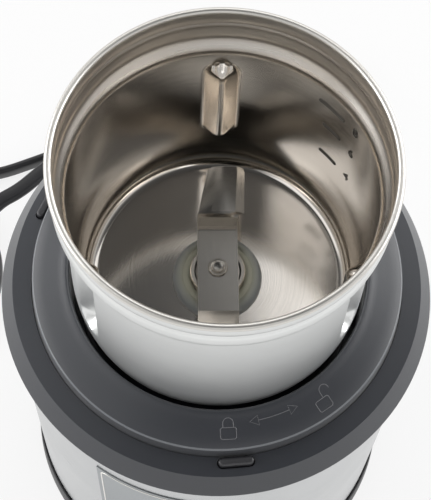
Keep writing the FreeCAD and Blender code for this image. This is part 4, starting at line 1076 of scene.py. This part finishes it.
@dataclass
class Cup:
    """The steel cup with its moulded foot, bearing, seal and fill marks."""

    floor: float = 113.7
    sheet: float = 0.8
    wall: float = 36.1
    mouth: float = 38.6
    rim: float = 180.2
    shoulder: float = 165.7
    bend: float = 12.8
    bend_powers: Pair = (0.92, 1.25)
    flat: float = 30.5
    rib_angles: tuple[float, ...] = (84.6, 204.6, 324.6)
    rib_depth: float = 3.4
    rib_half: float = 4.9
    rib_span: Pair = (127.6, 159.9)
    rib_gather: float = 0.62
    rib_ends: Pair = (3.0, 3.0)
    rib_foot: float = 0.14
    rib_crest: float = 0.16
    bead_drop: float = 6.0
    lug_sweep: float = 20.0
    bars: tuple[Triple, ...] = ((159.0, 44.3, 31.2), (149.6, 40.9, 31.4), (136.6, 40.6, 31.2))
    bar_half: float = 0.45
    numbers: tuple[tuple[str, float], ...] = (("8", 160.0), ("6", 149.6), ("4", 137.4))
    number_angle: float = 24.2
    number_size: float = 4.3
    steps: int = 360

    def build(self) -> None:
        """Builds every piece of the cup."""
        self.shell()
        self.foot()
        self.bearing()
        self.seal()
        self.fill_marks()

    def half(self, offset: float) -> Outline:
        """Draws the wall's outline from the floor's hole up to the rim.

        Args:
            offset: how far outside the inner surface it lies.

        Returns:
            The outline.
        """
        floor = self.floor - offset
        wall = self.wall + offset
        mouth = self.mouth + offset
        top = self.floor + self.bend
        rise = top - floor
        reach = wall - self.flat
        bend = []
        for i in range(15):
            turn = math.radians(90 * i / 14)
            out, up = math.sin(turn) ** self.bend_powers[0], (1 - math.cos(turn)) ** self.bend_powers[1]
            bend.append((self.flat + reach * out, floor + rise * up))
        bead = self.rim - self.bead_drop
        spots = [*run_points((6.0, floor), (self.flat, floor), 8), *bend]
        spots += run_points((wall, top), (wall, self.shoulder - 0.8), 44)[1:]
        for i in range(9):
            share = i / 8
            spots.append((wall + (mouth - wall) * smoothstep(share), self.shoulder - 0.8 + share * 4.8))
        spots += run_points((mouth, self.shoulder + 4.0), (mouth, bead - 1.0), 3)[1:]
        for i in range(7):
            share = i / 6
            spots.append((mouth - 0.42 * math.sin(math.pi * share) ** 2, bead - 1.0 + 2.0 * share))
        spots += run_points((mouth, bead + 1.0), (mouth, self.rim - 1.7), 3)[1:]
        return spots

    def shell(self) -> None:
        """Builds the shell as one closed sheet with its rolled rim and pressed ribs."""
        inner = self.half(0.0)
        outer = self.half(self.sheet)
        roll = arc_points((39.0, self.rim - 0.9), 0.9, 205, -65, 16)
        outline = [*inner, *roll, (39.4, self.rim - 2.0), *reversed(outer)]
        form = Form().spin(outline, self.steps, start=self.rib_angles[0] % (360 / self.steps))
        for vert in form.mesh.verts:
            self.press(vert)
        made = form.piece("cup_steel_shell", CUP_OUTSIDE, "cup", "cup_steel", ("cup_shell",), 50)
        made.data.materials.append(dressed(CUP_INSIDE))
        made.data.materials.append(dressed(CUP_RIM))
        for face in made.data.polygons:
            centre = face.center / MM
            inwards = face.normal.xy.dot(centre.xy) < -0.2 * centre.xy.length
            if centre.z > self.rim - 2.1:
                face.material_index = 2
            elif inwards or (face.normal.z > 0.3 and centre.z < self.floor + self.bend):
                face.material_index = 1

    def press(self, vert: bmesh.types.BMVert) -> None:
        """Gathers the wall's points at the ribs and moves those of a rib inwards.

        Args:
            vert: the point.
        """
        radius = vert.co.xy.length
        if radius < 1.0:
            return
        low, high = self.rib_span
        angle = math.degrees(math.atan2(vert.co.y, vert.co.x))
        rib = min(self.rib_angles, key=lambda spot: abs((angle - spot + 180.0) % 360.0 - 180.0))
        away = (angle - rib + 180.0) % 360.0 - 180.0
        away -= self.rib_gather * 120.0 / FULL * math.sin(math.radians(away * 3.0))
        depth = 0.0
        if radius > self.wall - 3.0 and low < vert.co.z < high:
            side = abs(math.radians(away)) * self.wall / self.rib_half
            end = max((vert.co.z - high + self.rib_ends[1]) / self.rib_ends[1],
                      (low + self.rib_ends[0] - vert.co.z) / self.rib_ends[0], 0.0)
            size = math.sqrt(max(1.0 - end * end, 1e-6))
            share = max(1.0 - side / size, 0.0)
            foot, crest = self.rib_foot, self.rib_crest + 0.5 * end
            eased = share * share / (2 * foot) if share < foot else share - foot / 2
            over = max(share - (1.0 - crest), 0.0)
            depth = size * self.rib_depth * (eased - over * over / (2 * crest)) / (1.0 - foot / 2 - crest / 2)
        vert.co = polar(radius - depth, rib + away, vert.co.z)

    def foot(self) -> None:
        """Builds the moulded foot with its three bayonet lugs."""
        outline = [
            (5.5, 112.85), (31.0, 112.85), (33.6, 111.6), (35.2, 109.6), (35.4, 108.6), (35.4, 98.6),
            (35.0, 98.05), (33.3, 98.05), (33.0, 98.6), (33.0, 109.4), (32.0, 110.3), (5.5, 110.3),
        ]
        Form().spin(outline, 128).piece("cup_foot", DECK, "cup", "deck_plastic", ("cup_base",), 35)
        outline = [(34.4, 100.6), (37.3, 100.6), (37.3, 103.9), (34.4, 103.9)]
        for i in range(3):
            form = Form().sweep(outline, self.lug_sweep, 10).round_edges(0.4).turned(i * 120.0 + 20.0)
            form.piece(f"bayonet_lug_{i}", DECK, "cup", "deck_plastic")

    def bearing(self) -> None:
        """Builds the turned head of the bush."""
        outline = [
            (3.05, 118.0), (5.6, 118.0), (6.0, 118.6), (6.8, 118.6), (7.05, 118.35), (7.05, 116.9), (6.75, 116.6),
            (6.75, 116.2), (7.05, 115.9), (7.05, 113.7), (5.4, 113.7), (5.4, 106.4), (3.05, 106.4),
        ]
        Form().spin(outline, 96).piece("bearing_head", BUSH_STEEL, "cup", "blade_steel", ("bearing_bush",), 30)

    def seal(self) -> None:
        """Builds the seal on the cup's floor, with its sloping edge and two fine steps."""
        outline = [
            (7.1, 116.1), (7.5, 116.3), (8.6, 116.3), (8.75, 116.15), (9.0, 116.15), (9.15, 116.3),
            (10.1, 116.25), (10.9, 115.7), (11.35, 114.9), (11.5, 114.3), (11.5, 113.7), (7.1, 113.7),
        ]
        Form().spin(outline, 96).piece("floor_seal", SEAL, "cup", "washer_rubber", ("floor_washer",), 50)

    def on_wall(self, angle: float, height: float, proud: float = 0.04) -> Vector:
        """Returns a point on the cup's inner wall.

        Args:
            angle: its angle in degrees.
            height: its height.
            proud: how far it stands in from the wall.
        """
        return polar(self.wall - proud, angle, height)

    def fill_marks(self) -> None:
        """Builds the slanting fill bars and a plain number beside each."""
        lines = []
        tip = math.degrees(self.bar_half / self.wall)
        for height, first, last in self.bars:
            bar = []
            for side, start in ((last + tip, 180), (first - tip, 0)):
                bar += [self.on_wall(side + math.degrees(x / self.wall), height + y)
                        for x, y in arc_points((0, 0), self.bar_half, start + 90, start - 90, 6)]
                far = first + last - side
                edge = height + (self.bar_half if start else -self.bar_half)
                bar += [self.on_wall(side + (far - side) * i / 8, edge) for i in range(1, 8)]
            lines.append(bar)
        # The bars are dark as painted shade for their pressing.
        lines_piece("fill_bars", lines, 0.3, FILL_MARK_SHADE, "cup", (0, 1, 2))
        for word, height in self.numbers:
            self.number(word, height)

    def number(self, word: str, height: float) -> None:
        """Builds one raised number on the inner wall.

        Args:
            word: the number.
            height: its middle's height.
        """
        text = bpy.data.curves.new(f"number_{word}", "FONT")
        text.body = word
        text.size = self.number_size
        text.align_x = "CENTER"
        text.align_y = "CENTER"
        text.extrude = 0.1
        text.bevel_depth = 0.02
        data = line_mesh(text)
        for vert in data.vertices:
            turned = self.number_angle - math.degrees(vert.co.x / self.wall)
            vert.co = self.on_wall(turned, height + vert.co.y, vert.co.z) * MM
        # The number is dark as painted shade for its pressing.
        data.materials.append(dressed(FILL_MARK_SHADE))
        mounted(linked(f"fill_number_{word}", data), "cup")


@dataclass
class Blade:
    """The stamped blade with a raised arm and a lowered arm, and its rivet."""

    under: float = 118.75
    thickness: float = 1.5
    half: float = 5.2
    hub: float = 11.2
    step: float = 4.6
    run: float = 1.3
    reach: float = 26.0
    lowered: float = 0.78
    lowered_hub: float = 1.0
    lowered_run: float = 3.6
    turn: float = -4.6

    def build(self) -> None:
        """Builds the blade and its rivet."""
        form = self.arm(self.step, self.hub, self.run)
        low = self.arm(-self.step * self.lowered, self.hub + self.lowered_hub, self.run + self.lowered_run)
        form.join(low.turned(180))
        form.tidied().turned(self.turn)
        made = form.piece("stamped_blade", BLADE_STEEL, "blade", "blade_steel", ("blade",), 13)
        # The Bevel's rounded edges get the pale steel, a painted highlight along the blade's edges.
        made.data.materials.append(dressed(HIGHLIGHT_STEEL))
        sheet = made.modifiers.new("sheet", "SOLIDIFY")
        sheet.thickness = self.thickness * MM
        sheet.offset = -1.0
        ease_edges(made, 0.4, 1, 50.0, 1)
        self.rivet()

    def arm(self, rise: float, hub: float, run: float) -> Form:
        """Builds one arm's upper face as a strip from the hub's middle to the tip.

        Args:
            rise: how far the plate lies above the hub, or below it.
            hub: where the fold starts.
            run: how far the fold reaches outwards.

        Returns:
            The strip.
        """
        top = self.under + self.thickness
        half = self.half
        start = hub + run
        lift = rise / 6
        sections = [
            (0.0, top, -half, half, 0.0), (hub - 0.5, top, -half, half, 0.0),
            (hub + run * 0.15, top + rise * 0.16, -half, half, 0.0),
            (start - run * 0.1, top + rise * 0.86, -half, half, 0.0),
            (start + 0.5, top + rise, -half, half + 0.2, 0.25),
            (start + 1.0, top + rise + lift * 0.05, -half + 0.3, half + 1.6, 0.45),
            (start + 3.0, top + rise + lift * 0.2, -half + 0.7, half + 1.65, 0.45),
            (start + 6.0, top + rise + lift * 0.5, -half + 1.3, half + 1.75, 0.45),
            (self.reach - 1.1, top + rise + lift * 0.95, -half + 2.7, half + 1.9, 0.45),
            (self.reach, top + rise + lift, -half + 4.0, half + 1.5, 0.45),
        ]
        form = Form()
        across = 10
        rows = []
        for y, z, left, right, crown in sections:
            row = []
            for i in range(across + 1):
                share = i / across
                ground = 0.75 * max(share - 0.8, 0.0) / 0.2 if y > start else 0.0
                bulge = crown * (1 - (2 * share - 1) ** 2)
                row.append(form.mesh.verts.new((left + (right - left) * share, y, z + bulge - ground)))
            rows.append([form.mesh.edges.new(pair) for pair in zip(row, row[1:])])
        for lower, upper in zip(rows, rows[1:]):
            bmesh.ops.bridge_loops(form.mesh, edges=lower + upper)
        bmesh.ops.recalc_face_normals(form.mesh, faces=form.mesh.faces)
        if sum(face.normal.z for face in form.mesh.faces) < 0:
            bmesh.ops.reverse_faces(form.mesh, faces=form.mesh.faces)
        return form

    def rivet(self) -> None:
        """Builds the rivet's domed head with the dimple round it."""
        top = self.under + self.thickness
        outline = [
            (0.0, top + 0.12), (0.6, top + 0.15), (1.2, top + 0.26), (1.6, top + 0.44), (1.85, top + 0.62),
            (2.05, top + 0.7), (2.25, top + 0.66), (2.42, top + 0.45), (2.5, top + 0.15), (2.5, top), (0.0, top),
        ]
        form = Form().spin(outline, 48)
        form.piece("blade_rivet_head", RIVET_STEEL, "blade", "blade_steel", ("blade_rivet",), 60)


@dataclass
class Body:
    """The steel sleeve with its bare plate, the black base ring and the feet."""

    foot_circle: float = 42.0
    sleeve_foot: Pair = (52.75, 8.0)
    sleeve_head: Pair = (53.5, 107.5)
    sheet: float = 0.6
    way_radius: float = 3.85
    way_height: float = 9.0
    label_angles: Pair = (-129.0, -100.0)
    label_heights: Pair = (51.6, 89.4)
    label_corner: float = 2.0
    label_proud: float = 0.26

    def build(self) -> None:
        """Builds the outside of the body."""
        self.sleeve()
        self.base_ring()
        self.label()
        self.feet()

    def sleeve(self) -> None:
        """Builds the steel sleeve, notched at the back where the lead comes out."""
        outside = [*run_points(self.sleeve_foot, self.sleeve_head, 16), self.sleeve_head, (53.5, 110.0)]
        inside = [(r - self.sheet, z) for r, z in reversed(outside)]
        made = Form().spin([*outside, *inside], 160).piece("sleeve_steel", SHELL_STEEL, "base", "shell_steel",
                                                           ("steel_shell",), 30)
        carve(made, self.way_out())

    def way_out(self) -> Form:
        """Returns the rod that cuts the lead's way out at the back."""
        turn = Matrix.Translation((0, 45.0, self.way_height)) @ Matrix.Rotation(-math.pi / 2, 4, "X")
        return Form().disc(self.way_radius, 12.0, (0, 0, 0)).moved(turn)

    def base_ring(self) -> None:
        """Builds the black ring round the foot of the sleeve."""
        outline = [
            (53.9, 2.5), *arc_points((52.95, 2.45), 0.95, 0, -80, 4), (51.9, 1.5), (51.9, 4.0), (50.15, 6.5),
            (50.15, 8.0), (52.95, 8.0), (52.95, 11.0), (53.2, 11.0), *arc_points((53.18, 10.68), 0.32, 80, 5, 3),
            (53.72, 6.0),
        ]
        made = Form().spin(outline, 160).piece("base_ring_black", BASE_BLACK, "base", "deck_plastic",
                                               ("base_ring",), 35)
        carve(made, self.way_out())

    def label_radius(self, height: float) -> float:
        """Returns the plate's radius at a height."""
        share = (height - self.sleeve_foot[1]) / (self.sleeve_head[1] - self.sleeve_foot[1])
        return self.sleeve_foot[0] + (self.sleeve_head[0] - self.sleeve_foot[0]) * share + self.label_proud

    def label(self) -> None:
        """Dresses the bare plate with a thin pale border line that has round corners, a painted highlight along the
        plate's edge.
        """
        (left, right), (low, high), corner = self.label_angles, self.label_heights, self.label_corner
        line = []
        for angle, height, start in ((left, low, 180), (right, low, 270), (right, high, 0), (left, high, 90)):
            aside = corner if angle == left else -corner
            middle = height + (corner if height == low else -corner)
            for x, y in arc_points((0, 0), corner, start, start + 90, 6):
                radius = self.label_radius(middle + y)
                line.append(polar(radius, angle + math.degrees((aside + x) / radius), middle + y))
        spread = []
        for here, there in zip(line, line[1:] + line[:1]):
            steps = max(1, round((there - here).length / 1.5))
            for i in range(steps):
                spot = here.lerp(there, i / steps)
                angle = math.degrees(math.atan2(spot.y, spot.x))
                spread.append(polar(self.label_radius(spot.z), angle, spot.z))
        # Painted highlight: the pale line stands in for the light caught by the plate's edge.
        lines_piece("label_border", [spread], 0.4, HIGHLIGHT_STEEL, "base", (0,))

    def feet(self) -> None:
        """Builds the four rubber feet with a moulded ring in each."""
        form = Form()
        for i in range(4):
            foot = Form().spin([
                (0.0, 3.0), (6.0, 3.0), (6.0, 1.0), (5.6, 0.2), (5.2, 0.0), (4.2, 0.0), (3.9, 0.35),
                (2.9, 0.35), (2.6, 0.0), (0.0, 0.0),
            ], 48)
            form.join(foot.moved(Matrix.Translation(polar(self.foot_circle, 45 + 90 * i, 0))))
        form.piece("feet_rubber", RUBBER, "base", "black_rubber", ("rubber_feet",), 40)


@dataclass
class Lead:
    """The flat twin lead, its boot and its plug."""

    diameter: float = 5.4
    thickness: float = 2.9
    centre: Pair = (-97.9, 57.0)
    start_radius: float = 37.5
    pitch: float = 6.1
    start_angle: float = 78.0
    reverse: float = 3.5
    turns: float = (5 * 360 - 78 - 8) / 360
    plug_start: Triple = (8.0, 114.0, 6.85)
    ease: float = 0.8
    points_per_turn: int = 16

    def build(self) -> None:
        """Builds the lead and what is on it."""
        boot = self.boot()
        plug = self.plug()
        self.cord()

    def coil(self) -> list[Vector]:
        """Lays the coil's control points, spiralling in, up and out again.

        Returns:
            The points in millimetres.
        """
        spots = []
        steps = round(self.turns * self.points_per_turn)
        outside = 1 / math.cos(math.pi / self.points_per_turn) ** 0.75
        for i in range(steps + 1):
            turn = self.turns * i / steps
            past = turn - self.reverse
            radius = self.start_radius - self.pitch * self.reverse + math.hypot(self.pitch * past, self.ease)
            share = min(max(past * 2 + 0.5, 0.0), 1.0)
            height = self.diameter / 2 + self.pitch * (1 - math.cos(math.pi * share)) / 2
            angle = self.start_angle + turn * 360
            spots.append(Vector((*self.centre, 0)) + polar(radius * outside, angle, height))
        return spots

    def route(self) -> list[Vector]:
        """Joins the lead's control points, from the boot to the plug.

        Returns:
            The points in millimetres.
        """
        out = [
            (0, 71.9, 9), (0, 82.5, 9), (-5, 93.5, 7.2), (-17, 101, 4.4), (-34, 100, 2.7), (-50, 94.9, 2.7),
            (-64.5, 90.5, 2.7), (-75, 91.0, 2.7),
        ]
        back = [
            (-71.0, 68.3, 8.8), (-64.5, 76.7, 9.6), (-56.5, 80.5, 9.6), (-49.1, 86.7, 9.6), (-38, 94.8, 9.6),
            (-26, 104, 9.0), (-12, 111.6, 7.4), (-1, 114, 6.85), (8, 114, 6.85),
        ]
        return [*(Vector(p) for p in out), *self.coil(), *(Vector(p) for p in back)]

    @staticmethod
    def tilt(place: int, count: int) -> float:
        """Returns how far the flat lead is turned at a point: on its edge, but flat on its way to the plug.

        Args:
            place: the point's number.
            count: how many points there are.
        """
        return math.pi / 2 * smoothstep((place - count + 13) / 5)

    def cord(self) -> None:
        """Builds the lead as one smooth flat cord.
        """
        spots = self.route()
        curve = bpy.data.curves.new("lead_line", "CURVE")
        curve.dimensions = "3D"
        curve.twist_mode = "Z_UP"
        curve.resolution_u = 6
        curve.bevel_depth = self.thickness * MM / 2
        curve.bevel_resolution = 4
        curve.extrude = (self.diameter - self.thickness) * MM / 2
        curve.use_fill_caps = True
        spline = curve.splines.new("NURBS")
        spline.points.add(len(spots) - 1)
        for i, (point, spot) in enumerate(zip(spline.points, spots)):
            point.co = (*(spot * MM), 1.0)
            point.tilt = self.tilt(i, len(spots))
        spline.order_u = 3
        spline.use_endpoint_u = True
        made = linked("lead_flat_cord", curve)
        curve.materials.append(dressed(LEAD_VINYL))
        mounted(made, "base", ("power_cord", "cord_coil", "cord_tail"))

    def boot(self) -> bpy.types.Object:
        """Builds the tapered boot with its collar and three flexing rings.

        Returns:
            The boot.
        """
        outline = [(2.75, 0.0), (4.8, 0.0), (4.8, 4.4), (3.8, 4.4), (3.7, 7.0), (3.7, 8.4)]
        for i in range(5):
            start = 8.6 + i * 2.8
            size = 3.7 - i * 0.12
            outline += [(size, start), (size, start + 1.6), (size - 0.7, start + 1.8), (size - 0.7, start + 2.6)]
        outline += [(3.1, 23.0), (3.0, 24.6), (2.75, 25.0)]
        form = Form().spin(outline, 48)
        form.moved(Matrix.Translation((0, 46.9, 9.0)) @ Matrix.Rotation(-math.pi / 2, 4, "X"))
        return form.piece("lead_boot", RUBBER, "base", "black_rubber", ("strain_relief",), 40)

    def plug(self) -> bpy.types.Object:
        """Builds the flat plug with its waist and rounded shoulders.

        Returns:
            The plug.
        """
        form = Form()
        sections = [(0, 8.0, 8.0), (4, 8.6, 8.4), (10, 13.2, 9.8), (17, 20.0, 11.6), (25, 28.0, 13.4),
                    (30, 33.0, 13.6), (34, 34.6, 13.6)]
        loops = []
        for x, wide, tall in sections:
            made = bmesh.ops.create_circle(form.mesh, cap_ends=False, segments=40, radius=1.0)
            for vert in made["verts"]:
                across = math.copysign(abs(vert.co.x) ** 0.45, vert.co.x) * wide / 2
                up = math.copysign(abs(vert.co.y) ** 0.62, vert.co.y) * tall / 2
                vert.co = Vector(self.plug_start) + Vector((x, across, up))
            loops.append([e for e in form.mesh.edges if all(v in made["verts"] for v in e.verts)])
        for lower, upper in zip(loops, loops[1:]):
            bmesh.ops.bridge_loops(form.mesh, edges=lower + upper)
        bmesh.ops.holes_fill(form.mesh, edges=form.mesh.edges, sides=60)
        form.tidied().round_edges(0.8, 50.0)
        return form.piece("plug_moulded", LEAD_VINYL, "base", "plug_plastic", ("plug_body",), 40)


NODE_FINISHES: dict[object, tuple[str, ...]] = {
    SHAFT_STEEL: ("blade_shaft", "motor_shaft", "motor_bolts", "base_screws", "mount_screws", "upper_bearing",
                  "lower_bearing", "bush_nut"),
    BASE_BLACK: ("bottom_plate",),
    RUBBER: ("motor_mounts", "shaft_seal", "seat_ring"),
    LEAD_VINYL: ("inner_lead",),
    LABEL_FOIL: ("front_label",),
    CONTACT_BRASS: ("brush_holders", "contact_bridge_front", "contact_bridge_right", "contact_bridge_left",
                    "switch_contacts"),
    PIN_METAL: ("plug_pins",),
    DARK_NYLON: ("motor_dog", "cup_dog"),
    PALE_NYLON: ("switch_block_front", "switch_block_right", "switch_block_left", "terminal_block",
                 "cord_clamp", "cooling_fan"),
    LAMINATIONS: ("motor_stator", "armature_core"),
    CAST: ("upper_bracket", "lower_bracket"),
    COPPER: ("field_coils", "armature_winding", "commutator"),
    CARBON: ("carbon_brushes",),
    YELLOW_CASE: ("capacitor",),
}


def dress_nodes() -> None:
    """Gives every node that still shows its own finish."""
    for finish, nodes in NODE_FINISHES.items():
        for name in nodes:
            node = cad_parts[name]
            for entry in node.material_slots:
                entry.material = dressed(finish)
            log.info("%s dressed as %s", name, finish.name)


@dataclass
class Studio:
    """The pale table, the soft lamps and the camera."""

    eye: Triple = (-0.02468, -0.15581, 0.48793)
    yaw: float = 8.6735
    pitch: float = 66.1368
    roll: float = 3.5939
    lens: float = 113.27
    table_glow: float = 0.82
    sky: tuple[Pair, ...] = ((0.0, 0.70), (0.5, 0.60), (0.78, 0.48), (0.88, 0.10), (1.0, 0.05))

    def build(self) -> None:
        """Builds the studio."""
        self.floor()
        self.world()
        self.lamp("lamp_left", (-0.94, 0.32, 0.57), (1.1, 0.55), 6.0)
        self.lamp("lamp_right", (0.96, 0.30, 0.57), (1.1, 0.55), 6.4)
        self.lamp("lamp_above_left", (-0.46, -0.02, 0.97), (0.70, 0.30), 0.60)
        self.lamp("lamp_above_back", (0.25, 0.49, 0.94), (0.33, 0.42), 0.50, (0.25, 0.0, 0.1))
        self.lamp("lamp_behind", (0.02, 0.70, 0.78), (0.60, 0.26), 0.80)
        self.lamp("lamp_front", (0.05, -0.64, 0.88), (0.50, 0.18), 0.32)
        self.camera()

    def floor(self) -> None:
        """Builds the white table, which keeps the object's soft shadow."""
        form = Form()
        bmesh.ops.create_grid(form.mesh, x_segments=1, y_segments=1, size=3.0)
        table = linked("table", form.data("table"))
        shader = Shader("table_white")
        shader.set(Base_Color=(0.9, 0.9, 0.9, 1.0), Roughness=0.9)
        rays = shader.node("ShaderNodeLightPath", {}, {})
        seen = Value(shader, rays.outputs["Is Camera Ray"]) + Value(shader, rays.outputs["Is Glossy Ray"])
        seen = (seen + Value(shader, rays.outputs["Is Transmission Ray"])).clamped()
        glow = shader.node("ShaderNodeEmission", {}, {"Color": (1.0, 1.0, 1.0, 1.0), "Strength": 1.0})
        mixed = shader.node("ShaderNodeMixShader", {}, {
            0: seen * self.table_glow, 1: shader.surface.outputs[0], 2: glow.outputs[0]})
        shader.tree.links.new(mixed.outputs[0], shader.output.inputs["Surface"])
        table.data.materials.append(shader.material)

    def world(self) -> None:
        """Lights everything softly from all round, least from overhead, on a white ground."""
        world = bpy.data.worlds.new("studio")
        bpy.context.scene.world = world
        nodes = Nodes(world)
        coords = nodes.node("ShaderNodeTexCoord", {}, {})
        parts = nodes.node("ShaderNodeSeparateXYZ", {}, {0: coords.outputs["Generated"]})
        stops = [(place, (grey, grey, grey)) for place, grey in self.sky]
        ramp = nodes.node("ShaderNodeValToRGB", {"stops": stops}, {0: parts.outputs["Z"]})
        rays = nodes.node("ShaderNodeLightPath", {}, {})
        mixed = nodes.node("ShaderNodeMix", {"data_type": "RGBA"}, {
            0: rays.outputs["Is Camera Ray"], 6: ramp.outputs[0], 7: (1.0, 1.0, 1.0, 1.0)})
        sky = nodes.node("ShaderNodeBackground", {}, {"Color": mixed.outputs[2]})
        nodes.node("ShaderNodeOutputWorld", {}, {"Surface": sky.outputs[0]})

    @staticmethod
    def lamp(name: str, place: Triple, size: Pair, power: float,
             target: Triple = (0.0, 0.0, 0.1)) -> None:
        """Adds a soft lamp.

        Args:
            name: its name.
            place: where it hangs.
            size: its two sides in metres.
            power: its power in watts.
            target: the spot that it faces.
        """
        data = bpy.data.lights.new(name, "AREA")
        data.shape = "RECTANGLE"
        data.size, data.size_y = size
        data.energy = power
        lamp = linked(name, data)
        lamp.location = place
        aim = Vector(target) - Vector(place)
        lamp.rotation_euler = aim.to_track_quat("-Z", "Y").to_euler()

    def camera(self) -> None:
        """Places the camera where the photograph was taken from."""
        yaw, pitch, roll = (math.radians(v) for v in (self.yaw, self.pitch, self.roll))
        ahead = Vector((math.sin(yaw) * math.cos(pitch), math.cos(yaw) * math.cos(pitch), -math.sin(pitch)))
        right = Vector((math.cos(yaw), -math.sin(yaw), 0))
        up = right.cross(ahead)
        right, up = (right * math.cos(roll) + up * math.sin(roll),
                     up * math.cos(roll) - right * math.sin(roll))
        data = bpy.data.cameras.new("camera")
        data.lens = self.lens
        data.sensor_width = 36.0
        data.clip_start = 0.01
        data.clip_end = 20.0
        made = linked("camera", data)
        made.matrix_world = Matrix((
            (right.x, up.x, -ahead.x, self.eye[0]),
            (right.y, up.y, -ahead.y, self.eye[1]),
            (right.z, up.z, -ahead.z, self.eye[2]),
            (0, 0, 0, 1),
        ))
        bpy.context.scene.camera = made


def main() -> None:
    """Builds the grinder and its studio."""
    logging.basicConfig(level=logging.INFO, format="%(message)s")
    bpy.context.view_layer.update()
    bpy.context.scene.view_settings.view_transform = "Standard"
    for assembly in (Studio(), Lead(), Body(), Deck(), Cup(), Blade()):
        log.info("building %s", type(assembly).__name__)
        assembly.build()
    dress_nodes()


if __name__ == "__main__":
    main()
